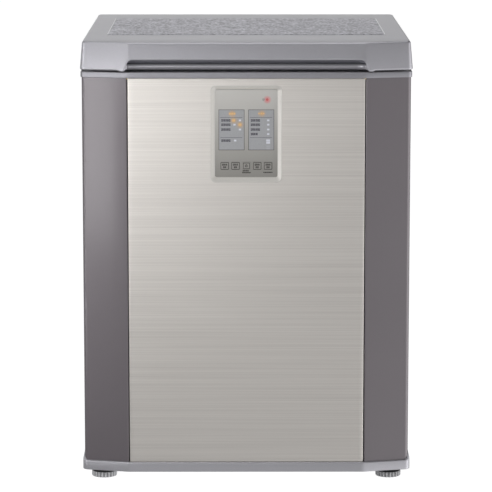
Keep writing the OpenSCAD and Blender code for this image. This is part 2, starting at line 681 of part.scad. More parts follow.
module fan_shroud() color(c_dark) {
  difference() {
    block(fan_x, fan_x + 2, shroud_y0, shroud_y1, z_body, z_body + 185);
    rod_x(fan_x - 1, fan_x + 3, fan_y, fan_z, fan_r + 4);
  }
  for (a = [90, 210, 330]) translate([0, fan_y, fan_z]) rotate([a, 0, 0]) {
    block(fan_x + 2 - eps, fan_x + 26, fan_r + 6, fan_r + 12, -3, 3);
    block(fan_x + 22, fan_x + 26, 18, fan_r + 12, -3, 3);
  }
  difference() {
    rod_x(fan_x + 22, fan_x + 26, fan_y, fan_z, 26);
    rod_x(fan_x + 20, fan_x + 28, fan_y, fan_z, 14);
  }
  for (y = rail_y) {
    block(cond_x0 - 8, fan_x + eps, y - 1.5, y + 1.5, z_body, cond_z[0] - cond_r - lay_gap);
    for (x = [cond_x0 + cond_pitch / 2, cond_x0 + (cond_passes - 1.5) * cond_pitch])
      block(x - 5, x + 5, y - 1.5, y + 1.5, z_body, cond_z[1] - cond_r - lay_gap);
  }
}

module fan_motor() color(c_zinc) difference() {
  union() {
    rod_x(fan_x + 26, fan_x + 54, fan_y, fan_z, 24);
    block(fan_x + 32, fan_x + 48, fan_y - 27, fan_y + 27, fan_z - 27, fan_z + 27);
  }
  rod_x(fan_x + 25, fan_x + 46, fan_y, fan_z, 2.5 + run_gap);
}

module fan_blade() color(c_white) {
  rod_x(fan_x - 6, fan_x + 12, fan_y, fan_z, 15);
  rod_x(fan_x + 12 - eps, fan_x + 44, fan_y, fan_z, 2.5);
  intersection() {
    union() for (a = [0 : 72 : 288]) translate([fan_x + 3, fan_y, fan_z]) rotate([a, 0, 0]) rotate([0, 0, 35])
      block(-0.9, 0.9, -20, 20, 12, fan_r + 4);
    rod_x(fan_x - 30, fan_x + 30, fan_y, fan_z, fan_r);
  }
}

drier_y = machine_y + 14;
drier_z0 = cond_z[0] + 20;
drier_h = 80;
module filter_drier() color(c_copper) translate([cond_x0, drier_y, drier_z0])
  rotate_extrude() polygon([[0, 0], [4, 0], [9, 8], [9, drier_h - 8], [3, drier_h], [0, drier_h]]);

suction_y = tail_y1;
suction_z = machine_z - 30;
discharge_y = machine_y + 75;
discharge_z = machine_z - 39;
comp_top = comp_z + comp_h;
down_x = fan_x - 60;
over_y = cond_y0 - 10;
module refrigerant_pipes() color(c_copper) {
  // Suction line, from the evaporator's tail to the compressor
  pipe([[-evap_x, suction_y, tail_z - lay_gap], [-evap_x, suction_y, suction_z], [comp_x, suction_y,
        suction_z], [comp_x, suction_y, comp_top - 0.1]], evap_r, 12);
  // Discharge line, from the compressor to the condenser's upper layer
  pipe([[comp_x, discharge_y, comp_top - 0.1], [comp_x, discharge_y, discharge_z], [down_x, discharge_y,
        discharge_z], [down_x, over_y, discharge_z], [down_x, over_y, z_body + 137], [cond_x0, over_y,
        z_body + 137], [cond_x0, over_y, cond_z[1]], [cond_x0, cond_y0 - lay_gap, cond_z[1]]], cond_r, 8);
  // From the condenser's lower layer to the drier
  pipe([[cond_x0, cond_y0 - lay_gap, cond_z[0]], [cond_x0, drier_y, cond_z[0]],
        [cond_x0, drier_y, drier_z0 - lay_gap]], cond_r, 10);
  // Capillary, from the drier to the evaporator's other tail
  pipe([[cond_x0, drier_y, drier_z0 + drier_h + lay_gap], [cond_x0, drier_y, machine_z - 40],
        [cond_x0, tail_y2, machine_z - 40], [-evap_x, tail_y2, machine_z - 40],
        [-evap_x, tail_y2, tail_z - lay_gap]], 1.2, 8);
}

box_x0 = -body_w / 2 + 72;
box_x1 = fan_x - 95;
box_y0 = machine_y + 20;
box_y1 = box_y0 + 105;
box_h = 62;
box_t = 2;
module control_box() color(c_white) difference() {
  block(box_x0, box_x1, box_y0, box_y1, machine_z - box_h, machine_z);
  difference() {
    block(box_x0 + box_t, box_x1 - box_t, box_y0 + box_t, box_y1 - box_t, machine_z - box_h + box_t, machine_z + 1);
    for (x = [box_x0 + 8, box_x1 - 8], y = [box_y0 + 8, box_y1 - 8])
      translate([x, y, machine_z - box_h]) cylinder(r = 4, h = 10);
  }
}

module main_board() color(c_board) {
  z = machine_z - box_h + 10;
  block(box_x0 + 4, box_x1 - 4, box_y0 + 4, box_y1 - 4, z, z + board_t);
  translate([box_x0 + 30, box_y0 + 30, z + board_t - eps]) cylinder(r = 10, h = 26);
  block(box_x0 + 48, box_x0 + 78, box_y0 + 20, box_y0 + 48, z + board_t - eps, z + 24);
  for (i = [0 : 3]) block(box_x0 + 16 + 17 * i, box_x0 + 28 + 17 * i, box_y1 - 34, box_y1 - 16,
                          z + board_t - eps, z + 17);
}

module wiring_harness() color(c_black) pipe(harness_line, harness_r, harness_bend);

cover_x = body_w / 2 - 97.5;
cover_z0 = z_body + 25;
cover_z1 = machine_z - 25;
cover_t = 1.2;
gland_x = body_w / 2 - 67.5;
gland_z = z_body + 40;
gland_r = 9.8;
cord_r = 4.2;
slot_rows = 9;
module rear_cover() color(c_zinc) difference() {
  union() {
    block(-body_w / 2 + 0.5, body_w / 2 - 0.5, y_back - sheet, y_back, z_body + 0.5, machine_z - 0.5);
    upright(rounded_box(-cover_x, cover_x, cover_z0, cover_z1, 10), y_back - eps, y_back + rear_out);
  }
  upright(rounded_box(-cover_x + cover_t, cover_x - cover_t, cover_z0 + cover_t, cover_z1 - cover_t, 9),
          y_back - 2, y_back + rear_out - cover_t);
  for (c = [-1, 0, 1], r = [1 : slot_rows]) translate([c * cover_x * 0.62, 0, cover_z0 + r * (cover_z1 - cover_z0) / (slot_rows + 1)])
    block(-cover_x * 0.25, cover_x * 0.25, y_back + rear_out - 3, y_back + rear_out + 1, -3, 3);
  rod_y(gland_x, y_back - 3, y_back + 3, gland_z, gland_r + 0.2);
  screw_holes(rear_screw_spots());
}

module cord_gland() color(c_black) difference() {
  union() {
    rod_y(gland_x, y_back, y_back + 4, gland_z, 14);
    rod_y(gland_x, y_back - 8, y_back + eps, gland_z, gland_r);
  }
  rod_y(gland_x, y_back - 9, y_back + 5, gland_z, cord_r);
}

module rear_screws() color(c_zinc) for (p = rear_screw_spots()) screw_at(p, y_back, 2 * sheet);

module screw_at(p, y, long) {
  rod_y(p[0], y, y + 2.2, p[1], 3.8);
  rod_y(p[0], y - long, y + eps, p[1], screw_r);
}

// ---------- hinges ----------

pin_y = y_back + pin_out;
pin_z = z_seal - pin_drop;
hinge_t = 3;
ear_x = 19;
knuckle_x = 14;
knuckle_r = 7.5;

module hinge_brackets() color(c_zinc) for (s = [-1, 1]) translate([s * hinge_x, 0, 0]) difference() {
  union() {
    block(-hinge_plate_w / 2, hinge_plate_w / 2, y_back, y_back + hinge_t, hinge_plate_z,
          hinge_plate_z + hinge_plate_h);
    for (e = [0, 1]) mirror([e, 0, 0]) {
      block(ear_x, ear_x + hinge_t, y_back + hinge_t - eps, pin_y + 4, pin_z - 24, pin_z);
      block(ear_x, ear_x + hinge_t, y_back + collar_proud + 0.5, pin_y, pin_z - 8, pin_z + 4);
      rod_x(ear_x, ear_x + hinge_t, pin_y, pin_z, 8);
    }
  }
  rod_x(-40, 40, pin_y, pin_z, pin_r + run_gap / 2);
  translate([-s * hinge_x, 0, 0]) screw_holes(hinge_screw_spots());
}

module hinge_pins() color(c_zinc) for (s = [-1, 1]) translate([s * hinge_x, 0, 0]) {
  rod_x(-ear_x - hinge_t - 0.5, ear_x + hinge_t + 0.5, pin_y, pin_z, pin_r);
  for (e = [0, 1]) mirror([e, 0, 0]) rod_x(ear_x + hinge_t + 0.3, ear_x + hinge_t + 2.3, pin_y, pin_z, pin_r + 2);
}

leaf_t = 2.5;
leaf_y = y_back - 26;
module hinge_arms() color(c_zinc) for (s = [-1, 1]) translate([s * hinge_x, 0, 0]) {
  difference() {
    union() {
      block(-knuckle_x - hinge_t, knuckle_x + hinge_t, leaf_y, pin_y + 5, z_lid - leaf_t, z_lid);
      for (e = [0, 1]) mirror([e, 0, 0]) {
        block(knuckle_x, knuckle_x + hinge_t, pin_y - 6, pin_y + 5, pin_z, z_lid - leaf_t + eps);
        rod_x(knuckle_x, knuckle_x + hinge_t, pin_y, pin_z, knuckle_r);
      }
    }
    rod_x(-40, 40, pin_y, pin_z, pin_r + run_gap);
  }
}

coil_r = 5.9;
wire_r = 0.8;
coil_turns = 8.5;
coil_pitch = 2.45;
coil_steps = 8 * coil_turns;
leg_y = hinge_t - pin_out + wire_r + 0.2;
leg_z = z_lid - leaf_t - pin_z - wire_r - lay_gap;

// The spring's centre line: a leg down the plate, the coil round the pin, a leg under the leaf
coil_line = [for (i = [0 : coil_steps]) let(t = i / coil_steps, a = t * coil_turns * 360 - 90)
  [(t - 0.5) * coil_turns * coil_pitch, coil_r * cos(a), coil_r * sin(a)]];
coil_end = coil_turns * coil_pitch / 2;
spring_line = concat([[-coil_end, leg_y, -20], [-coil_end, leg_y, -coil_r - 3],
                      [-coil_end, leg_y + 2, -coil_r - 0.6]], coil_line,
                     [[coil_end, -3, coil_r + 0.2], [coil_end, leg_y, leg_z]]);
spring_gap = min([for (i = [0 : coil_steps - 5], j = [i + 5 : coil_steps])
                  norm(coil_line[i] - coil_line[j])]) - 2 * wire_r;
echo(spring_gap = spring_gap);

module hinge_springs() color(c_zinc) for (s = [-1, 1]) translate([s * hinge_x, pin_y, pin_z])
  swept(spring_line, wire_r, 6);

module hinge_screws() color(c_zinc) for (p = hinge_screw_spots()) {
  rod_y(p[0], y_back + hinge_t, y_back + hinge_t + 2, p[1], 3.6);
  rod_y(p[0], y_back - sheet, y_back + hinge_t + eps, p[1], screw_r);
}

// ---------- lid ----------

edge_r = 4;
lid_back_r = 14;
// Plan of the lid, moved inwards by inset
function lid_plan(inset) = cabinet_plan(inset - lid_proud, corner_r + lid_proud, crease_r,
                                        y_lid_back - inset, lid_back_r);

// The lid's outer form, shrunk by t: walls that lean in and a softened top edge
module lid_form(t, drop = 0) hull() {
  slab(lid_plan(t), z_lid - drop, z_lid + eps);
  slab(lid_plan(t + lid_draft), z_top - t - edge_r, z_top - t - edge_r + eps);
  slab(lid_plan(t + lid_draft + edge_r * 0.25), z_top - t - edge_r * 0.35, z_top - t - edge_r * 0.35 + eps);
  slab(lid_plan(t + lid_draft + edge_r * 0.8), z_top - t - eps, z_top - t);
}

plate_y0 = y_lid_front + plate_border;
function plate_plan(grow) = rounded_box(-plate_w / 2 - grow, plate_w / 2 + grow, plate_y0 - grow,
                                        plate_y0 + plate_d + grow, 4);

module lid_shell() color(c_trim) difference() {
  lid_form(0);
  lid_form(lid_t, 1);
  slab(plate_plan(0.2), z_top - 1, z_top + 1);
  block(-notch_w / 2, notch_w / 2, y_lid_front - 1, y_lid_front + lid_t + 3, z_lid - 1, z_lid + notch_h);
}

module lid_plate() color([0.58, 0.58, 0.60]) slab(plate_plan(0), z_top - 1, z_top + plate_proud);

pocket_t = 2.5;
// Where the handle's roof meets the leaning front wall, behind the lid's face
pocket_face = lid_t + lid_draft * (pocket_h + pocket_t) / (lid_h - edge_r) + lay_gap;

// Section of the handle, as distance behind the lid's face and height above the rim
module pocket_section() {
  translate([pocket_d, 0]) square([pocket_t, pocket_h + pocket_t]);
  translate([pocket_face, pocket_h]) square([pocket_d - pocket_face + eps, pocket_t]);
  translate([pocket_d, lip_r]) circle(r = lip_r);
}

pocket_end = notch_w / 2 - pocket_d;
module lid_handle() color(c_dark) difference() {
  translate([0, y_lid_front, z_lid]) {
    translate([-pocket_end, 0, 0]) rotate([90, 0, 90]) linear_extrude(2 * pocket_end) pocket_section();
    for (s = [0, 1]) mirror([s, 0, 0]) translate([pocket_end, 0, 0]) rotate_extrude(angle = 90) pocket_section();
  }
  block(-notch_w, notch_w, y_lid_front - 10, y_lid_front + pocket_face, z_lid - 1, z_lid + lid_h);
}

mouth = -mouth_inset - plug_gap;
plug_z = z_lid - plug_h;
liner_sheet = 2;
pocket_room = pocket_d + pocket_t + lip_r - 1;

module lid_liner() color(c_white) {
  difference() {
    slab(lid_plan(lid_t + 0.5), z_lid, z_lid + liner_sheet);
    slab(tub_plan(mouth - liner_sheet, tub_y1), z_lid - 1, z_lid + liner_sheet + 1);
    block(-notch_w / 2 - 6, notch_w / 2 + 6, y_lid_front - 1, y_lid_front + pocket_room, z_lid - 1, z_lid + 10);
  }
  difference() {
    slab(tub_plan(mouth, tub_y1), plug_z, z_lid + eps);
    slab(tub_plan(mouth - liner_sheet, tub_y1), plug_z + liner_sheet, z_lid + 1);
  }
}

module lid_foam() color(c_foam) {
  difference() {
    lid_form(lid_t + 0.1);
    slab(lid_plan(0), z_lid - 1, z_lid + liner_sheet);
    block(-notch_w / 2 - 6, notch_w / 2 + 6, y_lid_front - 1, y_lid_front + pocket_room, z_lid - 1,
          z_lid + pocket_h + pocket_t + 0.3);
    block(-body_w, body_w, y_front - 60, y_lid_back + 60, z_top - lid_t - 1.2, z_top);
  }
  slab(tub_plan(mouth - liner_sheet - 0.1, tub_y1), plug_z + liner_sheet, z_lid + liner_sheet + eps);
}

gasket_in = mouth + 4;
module lid_gasket() color(c_dark) {
  ring(tub_plan(gasket_in + gasket_w, tub_y1), tub_plan(gasket_in, tub_y1), z_lid - 2, z_lid);
  ring(tub_plan(gasket_in + gasket_w - 2, tub_y1), tub_plan(gasket_in + 2, tub_y1), z_seal + lay_gap,
       z_lid - 2 + eps);
}

// ---------- one solid or group for each name ----------

mirror([1, 0, 0]) side_panel();  // side_panel_left
side_panel();  // side_panel_right
front_panel();
back_panel();
machine_bulkhead();
base_pan();
base_trim();
top_collar();
body_foam();
inner_liner();
evaporator_tube();
sensor_cover();
control_housing();
control_bezel();
control_fascia();
display_windows();
status_lamps();
display_board();
for (i = [1 : 5]) key(i);
compressor_shell();
compressor_pump();
compressor_grommets();
compressor_bolts();
terminal_cover();
condenser_coil();
fan_shroud();
fan_motor();
fan_blade();
filter_drier();
refrigerant_pipes();
control_box();
main_board();
wiring_harness();
rear_cover();
rear_screws();
cord_gland();
foot_sockets();
foot_stud(-1);  // foot_stud_left
foot_stud(1);  // foot_stud_right
foot_disc(-1);  // foot_disc_left
foot_disc(1);  // foot_disc_right
roller_brackets();
roller_axles();
roller(-1);  // roller_left
roller(1);  // roller_right
hinge_brackets();
hinge_pins();
hinge_springs();
hinge_screws();
lid_shell();
lid_plate();
lid_foam();
lid_liner();
lid_gasket();
lid_handle();
hinge_arms();
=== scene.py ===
# %% [markdown]
# # A chest type kimchi refrigerator
#
# The real machine is a steel cabinet with a foamed tub inside and one heavy lid on top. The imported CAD
# model already has every part at its place and size. This script gives the parts their finish, and it
# models again, as smooth surfaces, the shells whose rounded edges and seams the CAD leaves sharp.
# Lengths are in millimetres until a mesh is made of them, and the front of the machine faces -Y.

# %% Load the frame
import math
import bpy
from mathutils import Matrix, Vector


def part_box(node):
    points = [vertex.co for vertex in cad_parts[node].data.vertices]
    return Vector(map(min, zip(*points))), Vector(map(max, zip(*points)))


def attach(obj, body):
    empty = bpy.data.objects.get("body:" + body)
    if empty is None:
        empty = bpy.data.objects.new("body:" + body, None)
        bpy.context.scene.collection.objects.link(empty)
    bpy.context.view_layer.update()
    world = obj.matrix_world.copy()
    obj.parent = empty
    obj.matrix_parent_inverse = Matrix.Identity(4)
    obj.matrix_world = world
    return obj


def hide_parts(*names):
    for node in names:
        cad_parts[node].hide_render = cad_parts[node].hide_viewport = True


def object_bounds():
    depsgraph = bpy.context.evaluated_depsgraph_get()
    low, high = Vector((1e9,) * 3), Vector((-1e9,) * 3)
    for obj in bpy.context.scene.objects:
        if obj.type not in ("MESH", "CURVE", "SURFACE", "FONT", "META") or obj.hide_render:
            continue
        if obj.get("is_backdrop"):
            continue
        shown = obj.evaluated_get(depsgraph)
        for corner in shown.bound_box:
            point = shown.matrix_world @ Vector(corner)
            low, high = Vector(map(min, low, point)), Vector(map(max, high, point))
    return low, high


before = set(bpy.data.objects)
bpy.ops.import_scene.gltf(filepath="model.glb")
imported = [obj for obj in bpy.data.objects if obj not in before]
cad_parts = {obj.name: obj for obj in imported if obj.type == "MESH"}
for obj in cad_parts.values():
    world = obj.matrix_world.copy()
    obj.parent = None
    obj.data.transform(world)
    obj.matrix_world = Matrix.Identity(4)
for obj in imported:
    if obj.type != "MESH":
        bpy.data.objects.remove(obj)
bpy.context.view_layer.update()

from types import SimpleNamespace

import bpy
import numpy as np
from mathutils import Vector

# %% [markdown]
# ## Sizes
#
# A size could be typed in again here, but then it could drift away from the CAD. So the places of
# the parts are read from the frame's boxes, and only what a box can't tell, such as a lean or a
# corner's radius, is a named value.

# %% Read the sizes
MM = 0.001  # a millimetre, in the metres of the scene


def extent(node):
    """The box of a CAD node as x0, x1, y0, y1, z0, z1, and its middle as x, y, z."""
    (x0, y0, z0), (x1, y1, z1) = [[v / MM for v in corner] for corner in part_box(node)]
    return SimpleNamespace(x0=x0, x1=x1, y0=y0, y1=y1, z0=z0, z1=z1,
                           x=(x0 + x1) / 2, y=(y0 + y1) / 2, z=(z0 + z1) / 2)


LID, PLATE, COLLAR, STEEL, SIDE, TRIM, TUB, BEZEL, FASCIA = map(extent, (
    "lid_shell", "lid_plate", "top_collar", "front_panel", "side_panel_right", "base_trim", "inner_liner",
    "control_bezel", "control_fascia"))
for sheet_box in (STEEL, SIDE):
    sheet_box.z1 += 3  # the sheets run up a little behind the edge of the collar
KEYS = [extent(f"key_{i}") for i in range(1, 6)]

SHEET = 1  # thickness of the steel sheets
LEAN = math.radians(13.6)  # how far the front's outer thirds lean back
FLAT_HALF = 215  # half the width of the flat middle of the front
CREASE_R = 40  # radius of the soft bend between flat and leaning parts
CORNER_R = 9  # radius of the cabinet's front corners
CABINET_HALF, CABINET_FRONT, CABINET_BACK = SIDE.x1, STEEL.y0, SIDE.y1 + SHEET
print("cabinet", round(2 * CABINET_HALF, 1), "mm wide; lid top at", round(LID.z1, 1), "mm")

# %% [markdown]
# ## Tools for surfaces
#
# Nearly every shell of this machine is a stack of closed loops: the outline of the cabinet, drawn in
# and moved up step by step. So one function rounds the corners of a line, one moves a loop inwards,
# and one joins a stack of loops into a skin. The points are worked out as whole numpy arrays.


# %% Lines and loops
def unit(v):
    """Vectors made one long."""
    return v / np.linalg.norm(v, axis=-1, keepdims=True)


def fillet(points, radii, steps=5, closed=False):
    """A line whose corners become arcs. Each arc starts and ends r / tan(half the corner) from the
    corner, and its points are blends of its first and last spoke by the sines of the angle."""
    p = np.asarray(points, float)
    parts = []
    for i, r in enumerate(radii):
        if r <= 0 or (not closed and i in (0, len(p) - 1)):
            parts.append(p[i:i + 1])
            continue
        u, v = unit(p[i - 1] - p[i]), unit(p[(i + 1) % len(p)] - p[i])
        half = math.acos(float(np.clip(u @ v, -1, 1))) / 2
        turn = math.pi - 2 * half
        centre = p[i] + unit(u + v) * r / math.sin(half)
        first = p[i] + u * r / math.tan(half) - centre
        last = p[i] + v * r / math.tan(half) - centre
        t = np.linspace(0, 1, steps + 1)[:, None]
        spoke = np.sin(turn * (1 - t)) * first + np.sin(turn * t) * last
        parts.append(centre + spoke / math.sin(turn))
    return np.concatenate(parts)


def between(a, b, step):
    """Points strictly between a and b, evenly spaced and at most one step apart."""
    count = max(int(math.ceil(np.linalg.norm(b - a) / step)), 1)
    t = np.linspace(0, 1, count + 1)[1:-1, None]
    return a + (b - a) * t


def drawn_in(loop, distance):
    """A closed loop moved inwards. Each point goes along the mitre of its two sides, so straight
    sides stay parallel and arcs keep their centre. The distance may be one number or one a point."""
    side = unit(np.roll(loop, -1, 0) - loop)
    out = np.column_stack([side[:, 1], -side[:, 0]])
    before = np.roll(out, 1, 0)
    mitre = (out + before) / (1 + np.sum(out * before, axis=1, keepdims=True))
    return loop - mitre * np.broadcast_to(np.asarray(distance, float), len(loop))[:, None]


def round_rect(x0, x1, y0, y1, r, steps=6):
    """Rectangle with rounded corners as an anticlockwise loop, starting near its lower left corner."""
    return fillet([(x0, y0), (x1, y0), (x1, y1), (x0, y1)], (r,) * 4, steps, closed=True)


def onto_rect(points, x0, x1, y0, y1, r, grow=0.0):
    """The nearest points on a rounded rectangle: each point is clamped to the rectangle's core, which
    is r smaller on every side, and then goes back out by r + grow towards where it came from."""
    core = np.clip(points, (x0 + r, y0 + r), (x1 - r, y1 - r))
    return core + unit(points - core) * (r + grow)


def smoothstep(t):
    """From 0 to 1 along 3 t^2 - 2 t^3, level at both ends."""
    t = np.clip(t, 0, 1)
    return t * t * (3 - 2 * t)


# %% [markdown]
# A mesh needs faces between those loops. Bridging them by hand in the editor would give the same
# skin, but here the numbers of the points follow from their place in the stack, so the faces do too.


# %% Skins
def skin(rings, wrap_u=True, wrap_v=False):
    """Faces of a skin through a stack of loops, given as rings by points by 3. Seen from outside, the
    points run to the right and the rings go up. wrap_u closes each loop and wrap_v joins the last loop
    to the first. What is open gets a cap: the end loops, or the ends of a wrapped band."""
    rings = np.asarray(rings)
    rows, cols = rings.shape[:2]
    index = np.arange(rows * cols).reshape(rows, cols)
    a = index if wrap_v else index[:-1]
    b = np.roll(index, -1, 0) if wrap_v else index[1:]
    if wrap_u:
        corners = [a, np.roll(a, -1, 1), np.roll(b, -1, 1), b]
    else:
        corners = [a[:, :-1], a[:, 1:], b[:, 1:], b[:, :-1]]
    faces = np.stack(corners, -1).reshape(-1, 4).tolist()
    if not wrap_v:
        faces += [index[0, ::-1].tolist(), index[-1].tolist()]
    elif not wrap_u:
        faces += [index[:, 0].tolist(), index[::-1, -1].tolist()]
    return rings.reshape(-1, 3), faces


def level(loop, z):
    """A loop in plan, lifted to height z, which may be one number or one for each point."""
    return np.column_stack([loop, np.broadcast_to(np.asarray(z, float), len(loop))])


def upright(loop, y):
    """A loop drawn in X and Z, stood up at depth y."""
    return np.column_stack([loop[:, 0], np.broadcast_to(np.asarray(y, float), len(loop)), loop[:, 1]])


def front_box(x0, x1, z0, z1):
    """A box in front view."""
    return SimpleNamespace(x0=x0, x1=x1, z0=z0, z1=z1)


def around(x, z, half_x, half_z):
    """The box in front view that reaches half_x and half_z from its middle."""
    return front_box(x - half_x, x + half_x, z - half_z, z + half_z)


def front_rect(box, inset, r, y, steps=6):
    """A box's outline in front view, drawn in, with rounded corners, stood up at depth y."""
    return upright(round_rect(box.x0 + inset, box.x1 - inset, box.z0 + inset, box.z1 - inset, r, steps), y)


SMOOTH_ANGLE = math.radians(32)


def mesh_object(name, vertices, faces):
    """A new object at the origin, made of points in millimetres and smooth where its faces meet at less
    than the smooth angle."""
    mesh = bpy.data.meshes.new(name)
    mesh.from_pydata((np.asarray(vertices) * MM).tolist(), [], faces)
    mesh.validate()
    mesh.shade_smooth()
    mesh.set_sharp_from_angle(angle=SMOOTH_ANGLE)
    obj = bpy.data.objects.new(name, mesh)
    bpy.context.scene.collection.objects.link(obj)
    return obj


def joined(parts):
    """Several (vertices, faces) as one, with the later faces counted on."""
    vertices, faces, start = [], [], 0
    for v, f in parts:
        vertices.append(v)
        faces += [[i + start for i in face] for face in f]
        start += len(v)
    return np.concatenate(vertices), faces


pieces = {}


def piece(name, skins, body, slot, *nodes):
    """A piece of one or more skins that rides on a body and replaces CAD nodes. The slot is not used."""
    obj = mesh_object(name, *joined(skins))
    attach(obj, body)
    if nodes:
        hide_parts(*nodes)
    pieces[name] = obj
    print(f"{name}: {len(obj.data.polygons)} faces")


def store(name, label, values):
    """Keeps a number for every point of a piece, for its finish to read under that label."""
    kept = pieces[name].data.attributes.new(label, "FLOAT", "POINT")
    kept.data.foreach_set("value", np.asarray(values, np.float32))

# %% [markdown]
# ## The cabinet's outline
#
# Lid, collar, side panels and base trim share one plan: flat in the middle, leaning back beside it,
# square behind. It could be three planes with a sharp edge between them, but the moulded parts bend
# softly there, so the front is a function of x whose slope grows evenly through the bend.


# %% The outline
def front_depth(x, proud):
    """Depth of the front at x: flat, then a parabola across the bend, then a line that leans back."""
    tangent = CREASE_R * math.tan(LEAN / 2)
    t = np.abs(x) - FLAT_HALF - proud * math.tan(LEAN / 2)
    rise = np.where(t < -tangent, 0, np.where(t > tangent, t, (t + tangent) ** 2 / (4 * tangent)))
    return CABINET_FRONT - proud + math.tan(LEAN) * rise


def front_places(end):
    """Places along the front where its shape needs points: close in the bends, wide apart elsewhere."""
    tangent = CREASE_R * math.tan(LEAN / 2)
    bend = np.linspace(FLAT_HALF - 1.3 * tangent, FLAT_HALF + 1.3 * tangent, 9)
    outer = np.linspace(bend[-1], end, 6)[1:-1]
    inner = np.linspace(0, bend[0], 14)[:-1]
    right = np.concatenate([inner, bend, outer])
    return np.concatenate([-right[:0:-1], right])


def cabinet_loop(proud, back, corner, rear, places=None, step=12):
    """Plan of the cabinet, standing proud of its sheets. It starts at the left front corner and runs
    anticlockwise: front, right side, back, left side. corner and rear are the corners' radii."""
    half = CABINET_HALF + proud
    front = CABINET_FRONT - proud
    flat = FLAT_HALF + proud * math.tan(LEAN / 2)
    shoulder = front + (half - flat) * math.tan(LEAN)
    left = fillet([(-half, back), (-half, shoulder), (-flat, front)], (0, corner, 0), 9)[1:-1]
    right = left[::-1] * (-1, 1)
    behind = fillet([(half, shoulder), (half, back), (-half, back)], (0, rear, 0), 5)[1:-1]
    behind_left = behind[::-1] * (-1, 1)
    x = front_places(right[0, 0]) if places is None else places
    return np.concatenate([left, np.column_stack([x, front_depth(x, proud)]), right,
                           between(right[-1], behind[0], step), behind,
                           between(behind[-1], behind_left[0], step), behind_left,
                           between(behind_left[-1], left[0], step)])


print("outline:", len(cabinet_loop(0, CABINET_BACK, CORNER_R, 2)), "points")

# %% [markdown]
# ## The lid
#
# The lid is one moulded cover with walls that lean in a little, a soft top edge and a top that is
# flat under the patterned plate and falls a few millimetres towards the front. A long notch in its
# front rim is the finger grip. It could be cut out with a Boolean, but then the notch's edges would
# stay sharp. Here the rim itself is a curve that rises over the notch, and the rim's rounded edge
# follows that curve, so the notch is part of the same skin.

# %% Lid shell
LID_T = 2.5
LID_REAR_R = 14
LID_PROUD = 3
LID_DRAFT = 4
TOP_EDGE_R = 4.2
NOTCH_HALF = 215
NOTCH_H = 17.8
NOTCH_FOOT_R = 5
NOTCH_FOOT_OUT, NOTCH_TOP_IN = 4.5, 2  # how far the notch's flank reaches out and in from its half
LOBE_WIDE, LOBE_DEEP, LOBE_R = 9, 1.8, 5
LOBE_RAMP = 3
HANG = 1  # how far the rim hangs lower in front than at the hinges
HANG_END = 250
HANG_FADE = 100
NOTCH_TOP_R = 9.5
RIM_DEEP, RIM_HIGH = 2.2, 3.6
SLOPE_LONG = 60
SLOPE_DROP = 1.4
PLATE_GAP = 0.3
PLATE_R = 4
EDGE_BAND = 10.5  # width of the top's border that follows the lid's edge


def ahead(y):
    """1 over the front of the machine, fading to 0 before the hinges."""
    return smoothstep((HANG_END - y) / HANG_FADE)


def lean_in(z):
    """How far the lid's wall has leaned in at height z."""
    return LID_DRAFT * (z - LID.z0) / (LID.z1 - TOP_EDGE_R - LID.z0)


def fall(y):
    """How far the lid's top has fallen at depth y: nothing behind the slope's start, then a parabola."""
    s = np.clip((LID.y0 + SLOPE_LONG - y) / SLOPE_LONG, 0, 1.05)
    return SLOPE_DROP * s * s


def notch_rim():
    """The rim's line from left to right as x and height: beside the notch it dips in a small lobe, climbs
    to the notch's shoulder, and comes back the same way."""
    far = CABINET_HALF - CORNER_R
    h, n = NOTCH_H + HANG, NOTCH_HALF
    foot, top, low = n + NOTCH_FOOT_OUT, n - NOTCH_TOP_IN, -LOBE_DEEP
    start, lobe = foot + LOBE_WIDE + LOBE_RAMP, foot + LOBE_WIDE
    left = [(-far, 0), (-start, 0), (-lobe, low), (-foot, low), (-top, h)]
    right = [(-x, z) for x, z in left[::-1]]
    radii = (0, LOBE_R, LOBE_R, NOTCH_FOOT_R, NOTCH_TOP_R)
    line = fillet(left + right, radii + radii[::-1], 7)
    x = front_places(far)
    x = x[(np.abs(x) < n - NOTCH_TOP_R - 6) | (np.abs(x) > start + 3)]
    straight = np.column_stack([x, np.where(np.abs(x) < n, h, 0)])
    line = np.concatenate([line[1:-1], straight])
    return line[np.argsort(line[:, 0], kind="stable")]


rim_line = notch_rim()
lid_loop = cabinet_loop(LID_PROUD, LID.y1, CORNER_R + LID_PROUD, LID_REAR_R, rim_line[:, 0])
first = int(np.argmin(np.abs(lid_loop[:, 0] - rim_line[0, 0]) + np.abs(lid_loop[:, 1] - LID.y0)))
rim_height = -HANG * ahead(lid_loop[:, 1])
rim_height[first:first + len(rim_line)] += rim_line[:, 1]
along = np.gradient(rim_line, axis=0)
rim_normal = np.tile([0.0, 1.0], (len(lid_loop), 1))
rim_normal[first:first + len(rim_line)] = unit(np.column_stack([-along[:, 1], along[:, 0]]))
tangent_run = unit(np.roll(lid_loop, -1, 0) - np.roll(lid_loop, 1, 0))


def rim_ring(inset, rise):
    """Ring of the rim, rise above its edge, measured square to the rim's line even up the notch's sides."""
    z = LID.z0 + rim_height + rim_normal[:, 1] * rise
    loop = drawn_in(lid_loop, inset + lean_in(z)) + tangent_run * (rim_normal[:, :1] * rise)
    return level(loop, z)


def lid_ring(inset, z):
    """Ring of the lid's wall or top edge, which falls with the top."""
    loop = drawn_in(lid_loop, inset)
    return level(loop, z - fall(loop[:, 1]) * smoothstep((z - LID.z0) / (LID.z1 - LID.z0)))


